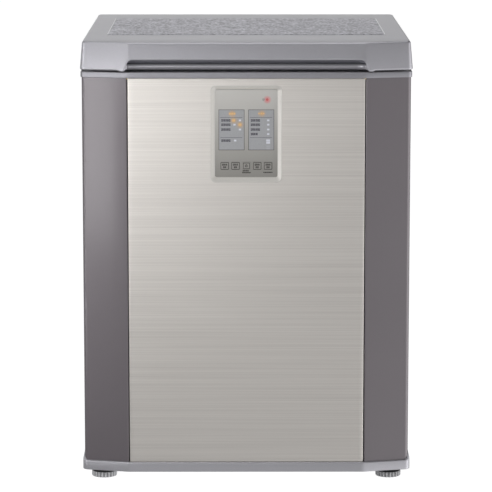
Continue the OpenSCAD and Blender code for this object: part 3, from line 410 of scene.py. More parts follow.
def top_ring(share, deep=0.0, grow=0.0):
    """Ring of the top, a share of the way from the edge to the plate's opening."""
    outer = drawn_in(lid_loop, EDGE_BAND)
    inner = onto_rect(outer, PLATE.x0 - PLATE_GAP, PLATE.x1 + PLATE_GAP, PLATE.y0 - PLATE_GAP,
                      PLATE.y1 + PLATE_GAP, PLATE_R + PLATE_GAP, grow)
    loop = outer + (inner - outer) * share
    return level(loop, LID.z1 - fall(loop[:, 1]) - deep)


wall_z = LID.z0 + NOTCH_H + 4
corner_in = lean_in(LID.z1)
turn = np.linspace(0, math.pi / 2, 8)
rim_round = np.column_stack([RIM_DEEP * (1 - np.sin(turn)), RIM_HIGH * (1 - np.cos(turn))])
rim_section = np.vstack([(LID_T, RIM_HIGH), (LID_T, 0.3), rim_round])
edge_section = fillet([(lean_in(wall_z), wall_z), (corner_in, LID.z1), (EDGE_BAND, LID.z1)],
                      (0, TOP_EDGE_R, 0), 8)
shell_rings = [rim_ring(d, w) for d, w in rim_section]
shell_rings += [lid_ring(d, z) for d, z in edge_section]
shell_rings += [top_ring(s) for s in (0.12, 0.3, 0.5, 0.7, 0.88)]
shell_rings += [top_ring(1, 0, 0.6), top_ring(1, 0.15, 0.2), top_ring(1, 0.6),
                top_ring(1, LID_T)]
shell_rings += [lid_ring(LID_T + corner_in, LID.z1 - LID_T), lid_ring(LID_T + lean_in(wall_z), wall_z)]
piece("lid_cover", [skin(shell_rings, wrap_v=True)], "lid", "lid_plastic", "lid_shell")

# %% [markdown]
# The plate is a separate sheet with a fine mottled pattern, laid into the top. Its edge is rounded
# off, so that it catches a thin line of light on both sides.

# %% Lid plate
plate_section = fillet([(0, PLATE.z0), (0, PLATE.z1 - 0.8), (3.4, PLATE.z1), (8, PLATE.z1)],
                       (0, 0.3, 4, 0), 4)
plate_rings = [level(round_rect(PLATE.x0 + d, PLATE.x1 - d, PLATE.y0 + d, PLATE.y1 - d,
                                max(PLATE_R - d, 0.5)), z) for d, z in plate_section]
piece("patterned_plate", [skin(plate_rings)], "lid", "lid_patterned", "lid_plate")

# %% [markdown]
# A pale bead runs along the plate's left and right edge, and its pale colour is a painted highlight: the
# thin bright line along each edge. It is one half round section, drawn from the front of the plate to
# its back.

# %% Beads
BEAD_R = 1.1
arc = np.linspace(0, math.pi, 9)
bead_run = np.linspace(PLATE.y0 + 3, PLATE.y1 - 3, 12)
beads = []
for x in (PLATE.x0, PLATE.x1):
    half_round = np.column_stack([x + BEAD_R * np.cos(arc), PLATE.z1 - BEAD_R * (1 - np.sin(arc))])
    rings = np.array([upright(half_round, y) for y in bead_run])
    beads.append(skin(rings.transpose(1, 0, 2)[::-1], wrap_u=False, wrap_v=True))
piece("plate_beads", beads, "lid", "lid_patterned")

# %% [markdown]
# Behind the notch sits the grip: a moulded channel whose back wall ends in a thick rounded lip. The
# section is the same all along, and both ends sweep forward in a quarter circle to the lid's wall.

# %% Lid handle
GRIP = extent("lid_handle")
GRIP_DEEP = 22
GRIP_T = 2.5
LIP_R = 6.2
LIP_MID = LIP_R - 0.8  # height of the lip's centre over the rim
GRIP_FACE = GRIP.y0 - LID.y0
GRIP_HIGH = GRIP.z1 - GRIP.z0
GRIP_END = NOTCH_HALF + 6 - GRIP_DEEP


def grip_section():
    """Closed section as distance behind the lid's face and height above the rim: roof, wall and lip."""
    roof = GRIP_HIGH - GRIP_T
    low = math.asin(1 - GRIP_T / LIP_R)
    turn = np.linspace(math.pi / 2, 2.5 * math.pi - low - 0.5, 26)
    lip = np.column_stack([GRIP_DEEP + LIP_R * np.cos(turn), LIP_MID + LIP_R * np.sin(turn)])
    wall = fillet([(GRIP_DEEP + GRIP_T, LIP_MID + LIP_R), (GRIP_DEEP + GRIP_T, GRIP_HIGH),
                   (0.8, GRIP_HIGH), (0.8, roof), (GRIP_DEEP, roof),
                   (GRIP_DEEP, LIP_MID + LIP_R + 1)], (0, 3.5, 0, 0, 1.5, 0), 4)
    return np.concatenate([wall, lip])


def grip_skin():
    """The section carried over a row of stations: a quarter circle, a straight run and a quarter circle.
    A station has its place along the front and the direction in which the section reaches from it, and
    the section is flattened where it meets the lid's wall."""
    deep, high = grip_section().T
    quarter = np.linspace(math.pi / 2, 0, 15)
    stations = [(-GRIP_END, -math.cos(a), math.sin(a)) for a in quarter[::-1]]
    stations += [(x, 0, 1) for x in np.linspace(-GRIP_END, GRIP_END, 30)[1:-1]]
    stations += [(GRIP_END, math.cos(a), math.sin(a)) for a in quarter]
    rings = np.array([np.column_stack([x + across * deep, np.maximum(back * deep, GRIP_FACE) + LID.y0,
                                       high + GRIP.z0]) for x, across, back in stations])
    return skin(rings.transpose(1, 0, 2), wrap_u=False, wrap_v=True)


piece("lid_grip", [grip_skin()], "lid", "handle_plastic", "lid_handle")

# %% [markdown]
# Under the lid, a white liner carries a plug that dips into the tub, and a grey sealing strip runs
# round the plug. Both are seen whenever the lid stands open, so both get their soft edges: the plug
# has a rounded rim and a shallow panel pressed into it, and the strip has its bellows.

# %% Lid liner and gasket
LINER = extent("lid_liner")
SEAL = extent("lid_gasket")
TUB_WALL = 12
TUB_R = 25
PANEL_R = 55  # makes the corners of the pressed panel wider than the plug's
PANEL_DEEP = 1.3
PLUG_IN = 10.3
MOUTH = SimpleNamespace(x0=TUB.x0 + TUB_WALL, x1=TUB.x1 - TUB_WALL, y0=TUB.y0 + TUB_WALL,
                        y1=TUB.y1 - TUB_WALL)


def onto_mouth(points, grow, r=TUB_R):
    """The nearest points on the tub's mouth, grown outwards."""
    return onto_rect(points, MOUTH.x0, MOUTH.x1, MOUTH.y0, MOUTH.y1, r, grow)


def plug_rings():
    """The liner as one stack of loops, seen from below: flange, plug wall, rim and pressed panel."""
    outer = drawn_in(cabinet_loop(LID_PROUD, LID.y1, CORNER_R + LID_PROUD, LID_REAR_R), 3.4)
    notch_back = LID.y0 + GRIP_DEEP + LIP_R + 0.2
    behind_notch = (np.abs(outer[:, 0]) < NOTCH_HALF + 7) & (outer[:, 1] < 0)
    outer[behind_notch, 1] = np.maximum(outer[behind_notch, 1], notch_back)
    low, panel, flange = LINER.z0, LINER.z0 + PANEL_DEEP, LINER.z1 - 2
    section = fillet([(6, flange), (-PLUG_IN, flange), (-PLUG_IN - 0.5, low), (-34, low),
                      (-36, panel), (-45, panel)],
                     (0, 2.5, 2.5, 1.5, 1.5, 0), 5)
    rings = [level(outer, LINER.z1), level(outer, flange + 0.2), level(drawn_in(outer, 0.2), flange)]
    rings += [level(onto_mouth(outer, g, TUB_R if g > -20 else PANEL_R), z) for g, z in section]
    return rings[::-1]


def seal_ring(grow, z):
    """Ring round the tub's mouth, grown outwards."""
    return level(round_rect(MOUTH.x0 - grow, MOUTH.x1 + grow, MOUTH.y0 - grow, MOUTH.y1 + grow,
                            TUB_R + grow, 8), z)


piece("lid_inside", [skin(plug_rings())], "lid", "white_plastic", "lid_liner")
seal_mid = (SEAL.x1 - MOUTH.x1) - 8
seal_section = fillet([(-8, 1.8), (-8, 0), (8, 0), (8, 1.8), (6.2, 2.2), (6.2, 2.9), (7.6, 3.4), (6.6, 4.6),
                       (-6.6, 4.6), (-7.6, 3.4), (-6.2, 2.9), (-6.2, 2.2)],
                      (0.3, 0.3, 0.3, 0.3, 0.2, 0.2, 0.3, 0.8, 0.8, 0.3, 0.2, 0.2), 2, closed=True)
seal_rings = [seal_ring(seal_mid + g, SEAL.z1 - d) for g, d in seal_section[::-1]]
piece("door_seal", [skin(seal_rings, wrap_v=True)], "lid", "seal_rubber", "lid_gasket")

# %% [markdown]
# ## The collar
#
# The collar is the frame that closes the gap between the cabinet's sheets and the tub. Outside it
# follows the cabinet, inside it follows the tub's mouth, so its rings are drawn in from the outline
# first and then brought onto the mouth's rounded rectangle, with the same points all the way. The mesh
# keeps which points lie on the deck, which is bare pale plastic; its pale colour is also painted light,
# standing in for the light that reaches the shaded gap under the lid.

# %% Top collar
COLLAR_PROUD = 2
MOULDED_T = 3
MOUTH_GROW = -2.3
RIDGE = 1  # a low ridge along the outer edge, which fades out before the hinges
RIDGE_POINTS = 8  # points of the section from the ridge's top to the deck
collar_loop = cabinet_loop(COLLAR_PROUD, COLLAR.y1, CORNER_R + COLLAR_PROUD, 8)
collar_low = STEEL.z1
collar_outside = fillet([(MOULDED_T, collar_low + 4), (MOULDED_T, collar_low), (0, collar_low),
                         (0, COLLAR.z1 + RIDGE), (3.6, COLLAR.z1 + RIDGE), (4.8, COLLAR.z1),
                         (6, COLLAR.z1)], (0, 0.5, 1, 1.4, 0.6, 0.6, 0), 5)
mouth_edge = fillet([(14, COLLAR.z1), (MOUTH_GROW, COLLAR.z1), (MOUTH_GROW, COLLAR.z0),
                     (MOUTH_GROW + 2, COLLAR.z0), (MOUTH_GROW + 2, COLLAR.z1 - MOULDED_T)],
                    (0, 2, 0.6, 0.6, 0), 5)
deck = drawn_in(collar_loop, 6)
collar_rings = [level(drawn_in(collar_loop, d),
                      min(z, COLLAR.z1) + ahead(collar_loop[:, 1]) * max(z - COLLAR.z1, 0))
                for d, z in collar_outside]
collar_rings += [level(onto_mouth(deck, g), z) for g, z in mouth_edge]
collar_rings += [level(drawn_in(collar_loop, MOULDED_T + 1), COLLAR.z1 - MOULDED_T)]
piece("collar_frame", [skin(collar_rings, wrap_v=True)], "cabinet", "trim_plastic", "top_collar")
on_deck = np.arange(len(collar_rings)) >= len(collar_outside) - RIDGE_POINTS
store("collar_frame", "bare_deck_painted_light", np.repeat(on_deck, len(collar_loop)))

# %% [markdown]
# ## The sheets
#
# The side panels are long folded sheets: a small return beside the front panel, the leaning face,
# the round corner, the side and a flange behind. A sheet could be a surface with Solidify on it, but
# its folds are simple enough to draw the sheet's true section once and carry it up the cabinet.


# %% Side panels
def folded_sheet(line, radii):
    """A sheet whose outer face follows a line in plan: the line with its folds rounded, closed by the
    same line one thickness further in, carried up the whole side."""
    outer = fillet(line, radii, 8)
    along_line = unit(np.gradient(outer, axis=0))
    inner = outer + np.column_stack([-along_line[:, 1], along_line[:, 0]]) * SHEET
    loop = np.concatenate([outer, inner[::-1]])
    return skin([level(loop, z) for z in (SIDE.z0, SIDE.z0 + 0.2, SIDE.z1 - 0.2, SIDE.z1)])


HEM = 12
shoulder_y = CABINET_FRONT + (CABINET_HALF - FLAT_HALF) * math.tan(LEAN)
side_line = np.array([(FLAT_HALF + 0.2, CABINET_FRONT + HEM), (FLAT_HALF, CABINET_FRONT),
                      (CABINET_HALF, shoulder_y), (CABINET_HALF, SIDE.y1), (CABINET_HALF - 15, SIDE.y1)])
side_radii = (0, 2, CORNER_R, 1.5, 0)
for name, sign in (("right", 1), ("left", -1)):
    sheet = folded_sheet((side_line * (sign, 1))[::sign], side_radii[::sign])
    piece(f"side_sheet_{name}", [sheet], "cabinet", "side_steel", f"side_panel_{name}")

# %% [markdown]
# The front panel is one sheet of stainless steel with a window for the control panel and all four
# edges folded back. Its rings go from the window out to the folds, and the far side follows behind.

# %% Front panel
FOLD_R = 1
WINDOW_IN = 2.4
border = fillet([(-8, STEEL.y0), (0, STEEL.y0), (0, STEEL.y1)], (0, FOLD_R, 0), 6)
border_back = fillet([(-SHEET, STEEL.y1), (-SHEET, STEEL.y0 + SHEET), (-8, STEEL.y0 + SHEET)],
                     (0, FOLD_R - SHEET, 0), 6)
steel_rings = [front_rect(BEZEL, WINDOW_IN, 6.5, y) for y in (STEEL.y0 + SHEET, STEEL.y0)]
steel_rings += [front_rect(STEEL, -grow, 0.8, y) for grow, y in (*border, *border_back)]
piece("steel_front", [skin(steel_rings[::-1], wrap_v=True)], "cabinet", "stainless", "front_panel")

# %% [markdown]
# The narrow gaps round the steel sheet would show the yellow foam. On the real machine a black foam
# strip closes them from behind, so one runs up each side and one lies along the foot. Their black also
# stands in for the shade deep in the gaps, so they are partly painted shade.


# %% Gap strips
def strip(box, y):
    """A strip as a rounded rectangle in front view, two rings deep."""
    corner = 0.3 * min(box.x1 - box.x0, box.z1 - box.z0)
    return skin([front_rect(box, 0, corner, y + deep, 3) for deep in (4, 0)])


GAP = FLAT_HALF - STEEL.x1
STRIP_HALF = GAP * 0.47
strips = [strip(front_box(s * (FLAT_HALF - GAP / 2) - STRIP_HALF, s * (FLAT_HALF - GAP / 2) + STRIP_HALF,
                          STEEL.z0 + 1, STEEL.z1 + 4), CABINET_FRONT + 3) for s in (-1, 1)]
strips.append(strip(front_box(-FLAT_HALF + 1, FLAT_HALF - 1, STEEL.z0 - 2.5, STEEL.z0 + 0.4),
                    CABINET_FRONT + 0.6))
# partly painted shade: the strips are black where the gaps lie in shade
piece("gap_strips_painted_shade", strips, "cabinet", "black_rubber")

# %% [markdown]
# ## The base trim
#
# The trim is a moulded band round three sides. At the front it ends in a small rounded ledge, and
# along the sides it climbs into a thin flare that hugs the sheet. Both sections have the same number
# of points, so one turns into the other round the corner.

# %% Base trim
TRIM_T = 3.4
trim_proud = TRIM.x1 - CABINET_HALF
trim_loop = cabinet_loop(trim_proud, TRIM.y1 + 30, CORNER_R + trim_proud, 2)
behind = np.flatnonzero(trim_loop[:, 1] > TRIM.y1)
open_run = np.roll(np.arange(len(trim_loop)), -int(behind[-1]) - 1)[:-len(behind)]
front_section = fillet([(TRIM_T, TRIM.z0), (0, TRIM.z0), (0, STEEL.z0), (TRIM_T, STEEL.z0)],
                       (0, 1.6, 1.7, 0), 7)
rise = np.linspace(0, 1, 8)
side_top = np.column_stack([0.1 + 3.1 * smoothstep(rise) ** 1.3,
                            STEEL.z0 - 2 + (TRIM.z1 - STEEL.z0 + 2) * rise])
side_section = np.concatenate([front_section[:9], side_top, [(TRIM_T, TRIM.z1)]])
flare = smoothstep((trim_loop[open_run, 1] - shoulder_y + 6) / (16))[:, None]
trim_rings = []
for at_front, at_side in zip(front_section, side_section):
    d, z = (at_front + (at_side - at_front) * flare).T
    whole = np.zeros(len(trim_loop))
    whole[open_run] = d
    ring = level(drawn_in(trim_loop, whole)[open_run], z)
    ring[[0, -1], 1] = TRIM.y1
    trim_rings.append(ring)
piece("base_band", [skin(trim_rings, wrap_u=False, wrap_v=True)], "cabinet", "trim_plastic", "base_trim")

# %% [markdown]
# ## The control panel
#
# A moulded bezel slopes from the steel down to a flat film. Light from above leaves its top and left
# slopes dark and its other two bright, which is why it looks pressed in. It is a ring with one
# section all round, whose slope is a little wider on the right and at the foot.

# %% Bezel
BEZEL_R = 9
BEZEL_RIM = 7.5
BEZEL_NECK = 2.7
RIGHT_SHARE, LOW_SHARE, TOP_SHARE = 1.08, 1.26, 0.98  # widths of the slopes, where the left one is 1


def frame_ring(inset, y):
    """Ring of the bezel, whose corners get tighter as it is drawn in."""
    return upright(round_rect(BEZEL.x0 + inset, BEZEL.x1 - RIGHT_SHARE * inset, BEZEL.z0 + LOW_SHARE * inset,
                              BEZEL.z1 - TOP_SHARE * inset, BEZEL_R - 5 * min(inset / BEZEL_RIM, 1), 8), y)


bezel_section = fillet([(BEZEL_RIM, BEZEL.y1), (BEZEL_NECK, BEZEL.y1), (BEZEL_NECK, STEEL.y0),
                        (0, STEEL.y0), (0, BEZEL.y0), (1.3, BEZEL.y0),
                        (BEZEL_RIM, BEZEL.y0 + 3), (BEZEL_RIM, BEZEL.y1 - 0.1)],
                       (0, 0, 0, 0, 0.5, 1, 0.2, 0), 4)
bezel_rings = [frame_ring(d, y) for d, y in bezel_section]
piece("control_frame", [skin(bezel_rings, wrap_v=True)], "cabinet", "bezel_plastic", "control_bezel")

# %% [markdown]
# The five keys are flush with the film. Each cap is a rounded plate with a soft edge, and it rides on
# its own body, because it travels.

# %% Keys
CAP_HALF_X, CAP_HALF_Z = 7.8, 7
for i, key in enumerate(KEYS, 1):
    section = fillet([(0, key.y1), (0, key.y0), (3, key.y0 + 0.05)], (0, 0.35, 0), 4)
    face = around(key.x, key.z, CAP_HALF_X, CAP_HALF_Z)
    cap = [front_rect(face, d, max(1.6 - d, 0.4), y) for d, y in section]
    foot = [front_rect(key, 0, 2, FASCIA.y1 + deep) for deep in (1.3, 0.3)]
    piece(f"key_cap_{i}", [skin(cap), skin(foot)], f"key_{i}", "fascia_film", f"key_{i}")

# %% [markdown]
# ## The feet
#
# Each levelling foot is a disc with grooves round its rim, so that it can be turned by hand. It is
# turned like a wheel on a lathe, but its radius also swings with the angle. The mesh keeps a painted
# shade for each point: darker the deeper it lies in a groove, and darkest on the disc's top, which is
# the painted shadow of the base above it.

# %% Levelling feet
RIBS = 22
RIB_DEEP = 1.8
RIB_FADE = 3  # how far from the rim the grooves reach
RIM_POINTS = 12  # points of the profile before the disc's top
angle = np.linspace(0, 2 * math.pi, RIBS * 8, endpoint=False)
compass = np.column_stack([np.cos(angle), np.sin(angle)])
valley = np.clip(0.55 - 0.9 * np.cos(RIBS * angle), 0, 1)
for name in ("left", "right"):
    disc = extent(f"foot_disc_{name}")
    radius = (disc.x1 - disc.x0) / 2
    profile = fillet([(6, 0), (radius, 0), (radius, disc.z1), (radius - 6, disc.z1 - 0.3),
                      (6.6, disc.z1 - 0.3)], (0, 1.8, 1.3, 0, 0), 5)
    rings, shades = [], []
    for i, (r, z) in enumerate(profile):
        groove = valley * smoothstep((r - radius + RIB_FADE) / RIB_FADE)
        rings.append(level((disc.x, disc.y) + compass * (r - RIB_DEEP * groove)[:, None], z))
        # painted shade: up to 0.6 deep in a groove, and 1 on the disc's top as the base's painted shadow
        shades.append(groove * 0.6 if i < RIM_POINTS else np.ones(len(angle)))
    piece(f"ribbed_foot_{name}", [skin(rings)], f"foot_{name}", "foot_plastic", f"foot_disc_{name}")
    store(f"ribbed_foot_{name}", "groove", np.concatenate(shades))

# %% [markdown]
# ## Printed marks
#
# The windows show rows of small signs, and the film has a mark on every key. They could be an image,
# but an image would be tied to one resolution. Here each mark is a very thin plate, a few hundredths
# of a millimetre proud, so it stays sharp from any distance. All of them are plain dashes, dots and
# frames that spell nothing.


# %% Marks
FILM = extent("display_windows")
INK = 0.06
WINDOW_X, WINDOW_Z = 26.75, FILM.z  # middle of the right window
WINDOW_HALF_X, WINDOW_HALF_Z = 23, 36.5
LEFT, RIGHT = -WINDOW_X, WINDOW_X


def plates(marks, y):
    """Thin closed plates, one for each mark given as x0, x1, z0, z1. Their eight corners are worked out
    together: the front four, then the back four, one ink's thickness deeper."""
    m = np.asarray(marks, float)
    x = m[:, [0, 1, 1, 0, 0, 1, 1, 0]]
    z = m[:, [2, 2, 3, 3, 2, 2, 3, 3]]
    depth = np.broadcast_to([y - INK] * 4 + [y + INK] * 4, x.shape)
    box = np.array([(0, 1, 2, 3), (5, 4, 7, 6), (4, 0, 3, 7), (1, 5, 6, 2), (4, 5, 1, 0), (3, 2, 6, 7)])
    faces = box[None] + 8 * np.arange(len(m))[:, None, None]
    return np.stack([x, depth, z], -1).reshape(-1, 3), faces.reshape(-1, 4).tolist()


def dashes(x0, x1, z, widths, high=2, gap=0.5):
    """A row of dashes from x0 to x1 whose widths repeat, as words in small print do from far away."""
    marks, x, i = [], x0, 0
    while x + 0.5 < x1:
        w = widths[i % len(widths)]
        marks.append((x, min(x + w, x1), z - high / 2, z + high / 2))
        x, i = x + w + gap, i + 1
    return marks


def signs(x0, x1, z, high, wide=3.6, gap=0.7):
    """A row of small signs: in each, two lying dashes and one standing one, in turns left and right."""
    marks, x, i = [], x0, 0
    bar = 0.32 * wide
    while x + wide <= x1 + 0.1:
        stand = x if i % 2 else x + wide - bar
        lie = (x + 1.25 * bar, x + wide) if i % 2 else (x, x + wide - 1.25 * bar)
        marks.append((stand, stand + bar, z - high / 2, z + high / 2))
        for middle in (z + high * 0.23, z - high * (0.25 if i % 3 else 0.3)):
            marks.append((*lie, middle - high * 0.19, middle + high * 0.19))
        x, i = x + wide + gap, i + 1
    return marks


def outline(x, z, a, b, wide):
    """The four sides of a frame that reaches a and b from x, z."""
    left, right, low, high = x - a, x + a, z - b, z + b
    return [(left, right, low, low + wide), (left, right, high - wide, high),
            (left, left + wide, low + wide, high - wide), (right - wide, right, low + wide, high - wide)]


def spots(half_x, half_z, *places):
    """Marks of one size round places in the windows, whose heights count from the windows' middle."""
    return [(x - half_x, x + half_x, WINDOW_Z + z - half_z, WINDOW_Z + z + half_z) for x, z in places]


# %% [markdown]
# Each window has rows of small print, two thin rules across it, and signs that are lit from behind.
# Round each window the film has a dark frame.

# %% Print in the windows
small_print = []
for middle, start, rows in ((LEFT, -18.4, ((17.2, -0.4), (9.4, 0.8), (0.6, -0.6), (-19.4, -1))),
                            (RIGHT, -18.7, ((17.2, -2), (9.4, -2), (0.6, -2), (-7.6, -5)))):
    for z, end in rows:
        small_print += signs(middle + start, middle + end, WINDOW_Z + z, 4.5)
    small_print += spots(20, 0.25, (middle - 0.4, 22.4), (middle - 0.4, -14.1))
piece("window_print", [plates(small_print, FILM.y0)], "cabinet", "display_film")
lit_white = spots(2.1, 1.6, (LEFT + 15.2, 17.2), (LEFT + 5.3, 9.4), (LEFT + 15.2, 0.6), (RIGHT + 12.7, 17.2),
                  (RIGHT + 12.7, 9.4), (RIGHT + 12.7, 0.6), (RIGHT + 12.7, -7.6), (LEFT + 6.6, -19.4))
lit_white += spots(3.5, 1.9, (RIGHT + 12.6, -19.2), (RIGHT + 12.6, -23.4))
lit_amber = spots(2.6, 2.2, (LEFT + 15.2, 9.4), (LEFT + 4, 17.2))
lit_amber += spots(1.7, 1.8, *[(LEFT + x, 29.3) for x in (-3, 1.2, 5.4)])
lit_amber += spots(1.4, 1.3, *[(RIGHT + x, 29.5) for x in (-4, 0.2, 4.4)])
lit_grey = spots(3.4, 1.6, (RIGHT + 12.6, -30.1), (RIGHT + 12.6, -34))
for name, marks in (("white", lit_white), ("painted_amber_glow", lit_amber), ("grey", lit_grey)):
    piece(f"window_lit_{name}", [plates(marks, FILM.y0)], "cabinet", "display_film")
frames = [side for middle in (LEFT, RIGHT)
          for side in outline(middle, WINDOW_Z, WINDOW_HALF_X + 0.3, WINDOW_HALF_Z + 0.3, 0.8)]
piece("window_frames", [plates(frames, min(FILM.y0, FASCIA.y0) - INK)], "cabinet", "fascia_film")

# %% [markdown]
# Each key has a thin ring round it, and two rows of signs or, on the small middle key, one sign. Two
# lines of small print stand below the keys.

# %% Print on the keys
SMALL_KEY = 3
RING_R, RING_WIDE = 1.4, 0.9
for i, key in enumerate(KEYS, 1):
    ring_box = around(key.x, key.z, *((6.1, 5.6) if i == SMALL_KEY else (7.3, 6.7)))
    ring = [front_rect(ring_box, inset, RING_R - inset, key.y0 + deep)
            for inset, deep in ((0, INK), (0, -INK), (RING_WIDE, -INK), (RING_WIDE, INK))]
    piece(f"key_ring_{i}", [skin(ring, wrap_v=True)], f"key_{i}", "fascia_film")
    x, z = key.x, key.z
    if i == SMALL_KEY:
        marks = outline(x, z, 2, 2, 0.8) + [(x - 0.4, x + 0.4, z + 0.6, z + 3)]
    else:
        marks = signs(x - 4.6, x + 4.6, z + 2.4, 3.6, 2.6, 0.5)
        marks += signs(x - 3, x + 3.2, z - 2.4, 3.6, 2.6, 0.5)
    piece(f"key_print_{i}", [plates(marks, key.y0)], f"key_{i}", "fascia_film")
low, third, fifth = KEYS[2].z, KEYS[2].x, KEYS[4].x
notes = signs(third - 6.8, third + 7, low - 8.7, 3, 2.4, 0.5)
notes += dashes(third - 7.4, third + 8, low - 12.2, (2.6, 1.8, 3.1))
notes += dashes(fifth - 8.5, fifth + 8, low - 11.8, (2.1, 3.2))
piece("film_notes", [plates(notes, FASCIA.y0)], "cabinet", "fascia_film")

# %% [markdown]
# ## Materials
#
# A material is a small network of nodes. One class stands for a number in that network, so that
# sums can be written as sums, and a second one makes the material and adds any other node. All the
# patterns read the Object coordinates: the pieces sit at the origin, so those are metres in the frame.


# %% Node tools
def paint(red, green, blue):
    """A colour from its everyday 0 to 255 values, made linear as the renderer wants it."""
    c = np.array([red, green, blue]) / 255
    linear = np.where(c <= 0.04045, c / 12.92, ((c + 0.055) / 1.055) ** 2.4)
    return (*linear.tolist(), 1.0)


class Value:
    """A number that changes over a surface. Arithmetic with it adds Math nodes to the tree."""

    def __init__(self, tree, socket):
        self.tree, self.socket = tree, socket

    def math(self, operation, *terms):
        node = self.tree.nodes.new("ShaderNodeMath")
        node.operation = operation
        for slot, term in zip(node.inputs, terms):
            if isinstance(term, Value):
                self.tree.links.new(term.socket, slot)
            else:
                slot.default_value = term
        return Value(self.tree, node.outputs[0])

    def __add__(self, other):
        return self.math("ADD", self, other)

    def __sub__(self, other):
        return self.math("SUBTRACT", self, other)

    def __rsub__(self, other):
        return self.math("SUBTRACT", other, self)

    def __mul__(self, other):
        return self.math("MULTIPLY", self, other)

    def __pow__(self, other):
        return self.math("POWER", self, other)

    __radd__ = __add__
    __rmul__ = __mul__

    def ramp(self, low, high):
        """0 below low, 1 above high, even between."""
        node = self.tree.nodes.new("ShaderNodeMapRange")
        self.tree.links.new(self.socket, node.inputs["Value"])
        node.inputs["From Min"].default_value = low
        node.inputs["From Max"].default_value = high
        return Value(self.tree, node.outputs["Result"])


class Nodes:
    """A node tree in the making: one way to fill sockets, and one way to add any node."""

    def __init__(self, tree):
        self.tree = tree

    def put(self, node, values):
        """Sets or links a node's sockets, each found by its identifier or its name."""
        for name, value in values.items():
            socket = next(s for s in node.inputs if name in (s.identifier, s.name))
            if isinstance(value, Value):
                self.tree.links.new(value.socket, socket)
            else:
                socket.default_value = value

    def node(self, kind, settings, values, output=0):
        """Any node: its settings first, then its sockets. Returns the output asked for."""
        node = self.tree.nodes.new(f"ShaderNode{kind}")
        for name, value in settings.items():
            setattr(node, name, value)
        self.put(node, values)
        return Value(self.tree, node.outputs[output])


class Finish(Nodes):
    """A material in the making: a Principled shader with its constants, and the patterns it uses."""

    def __init__(self, name, **constants):
        self.material = bpy.data.materials.new(name)
        self.material.use_nodes = True
        super().__init__(self.material.node_tree)
        self.shader = self.tree.nodes["Principled BSDF"]
        self.set(**constants)

    def set(self, **values):
        """Sets or links the shader's own sockets, named in lower case with underscores."""
        self.put(self.shader, {name.replace("_", " ").title(): value for name, value in values.items()})

    def place(self, *scale):
        """Object coordinates, stretched along each axis."""
        where = self.node("TexCoord", {}, {}, "Object")
        return self.node("Mapping", {}, {"Vector": where, "Scale": scale or (1, 1, 1)})

    def climb(self, axis, low, high):
        """0 up to low and 1 from high on, in millimetres along an axis: 0 for X, 1 for Y, 2 for Z."""
        return self.node("SeparateXYZ", {}, {"Vector": self.place()}, axis).ramp(low * MM, high * MM)

    def stored(self, label):
        """The number that a mesh keeps for its points under that label."""
        return self.node("Attribute", {"attribute_name": label}, {}, "Fac")

    def grain(self, scale, detail=2.0, rough=0.5, stretch=()):
        """Noise between 0 and 1, scale times finer than a metre, stretched along the axes."""
        return self.node("TexNoise", {}, {"Vector": self.place(*stretch), "Scale": scale, "Detail": detail,
                                          "Roughness": rough})

    def cells(self, scale, output="Distance", feature="F1"):
        """Voronoi cells: distance to the nearest point, or the cell's own colour."""
        return self.node("TexVoronoi", {"feature": feature}, {"Vector": self.place(), "Scale": scale}, output)

    def shades(self, scale):
        """Voronoi cells, each with a number of its own between 0 and 1."""
        return self.node("SeparateColor", {}, {"Color": self.cells(scale, "Color")}, 0)

    def mix(self, share, a, b):
        """Colour a where share is 0 and b where it is 1. A plain colour is given from 0 to 255."""
        a, b = [colour if isinstance(colour, Value) else paint(*colour) for colour in (a, b)]
        return self.node("Mix", {"data_type": "RGBA"}, {"Factor_Float": share, "A_Color": a, "B_Color": b}, 2)

    def dress(self, share, dark, light, roughness, relief, strength, step=0.0002, **values):
        """The whole surface: a colour from dark to light by share, a roughness, a relief whose full step
        is that many metres high, and whatever else the shader takes."""
        self.colour = self.mix(share, dark, light)
        normal = self.node("Bump", {}, {"Height": relief, "Strength": strength, "Distance": step})
        self.set(base_color=self.colour, roughness=roughness, normal=normal, **values)


def coat(made, *names):
    """Gives a finish to the pieces and the CAD nodes of these names."""
    for name in names:
        materials = (pieces[name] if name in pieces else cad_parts[name]).data.materials
        materials.clear()
        materials.append(made.material)
    print("finish:", made.material.name, "on", ", ".join(names))


def tones(colour, step):
    """A colour made one step darker and one step lighter."""
    return [[min(max(c + d, 0), 255) for c in colour] for d in (-step, step)]


# %% [markdown]
# ### Silver plastic
#
# Lid, collar and base trim are moulded plastic sprayed with silver paint. Silver paint is clear
# lacquer full of tiny metal flakes, so it is half metallic, satin, and shows a faint grain close by.
# The collar's deck is left bare under the lid, and its pale colour is also painted light in the gap under the
# lid.


# %% Silver paint
def silver(name, shade, roughness=0.3, metallic=0.55):
    """Silver paint: every flake has its own shade and gloss, over a slow drift."""
    made = Finish(name, metallic=metallic)
    flakes = made.shades(2600)
    made.dress(flakes * 0.75 + made.grain(6, 3) * 0.25, *tones(shade, 7),
               roughness + flakes * 0.08 + made.grain(40, 3) * 0.05, made.grain(900), 0.12)
    return made


coat(silver("silver_lid", (178, 177, 183)), "lid_cover")
coat(silver("silver_base", (185, 184, 190)), "base_band")
# painted highlight: the beads are far paler than the lid, to show a bright line along each edge
coat(silver("pale_bead_painted_highlight", (236, 236, 240)), "plate_beads")
coat(silver("silver_bezel", (213, 210, 205), 0.38, 0.3), "control_frame")
collar_silver = silver("silver_collar", (154, 153, 159))
# painted light: the deck is pale bare plastic, lighter than the collar's paint
bare_deck_painted_light = collar_silver.stored("bare_deck_painted_light")
collar_silver.set(base_color=collar_silver.mix(bare_deck_painted_light, collar_silver.colour, (205, 204, 209)),
                  metallic=0.55 - bare_deck_painted_light * 0.55)
coat(collar_silver, "collar_frame")

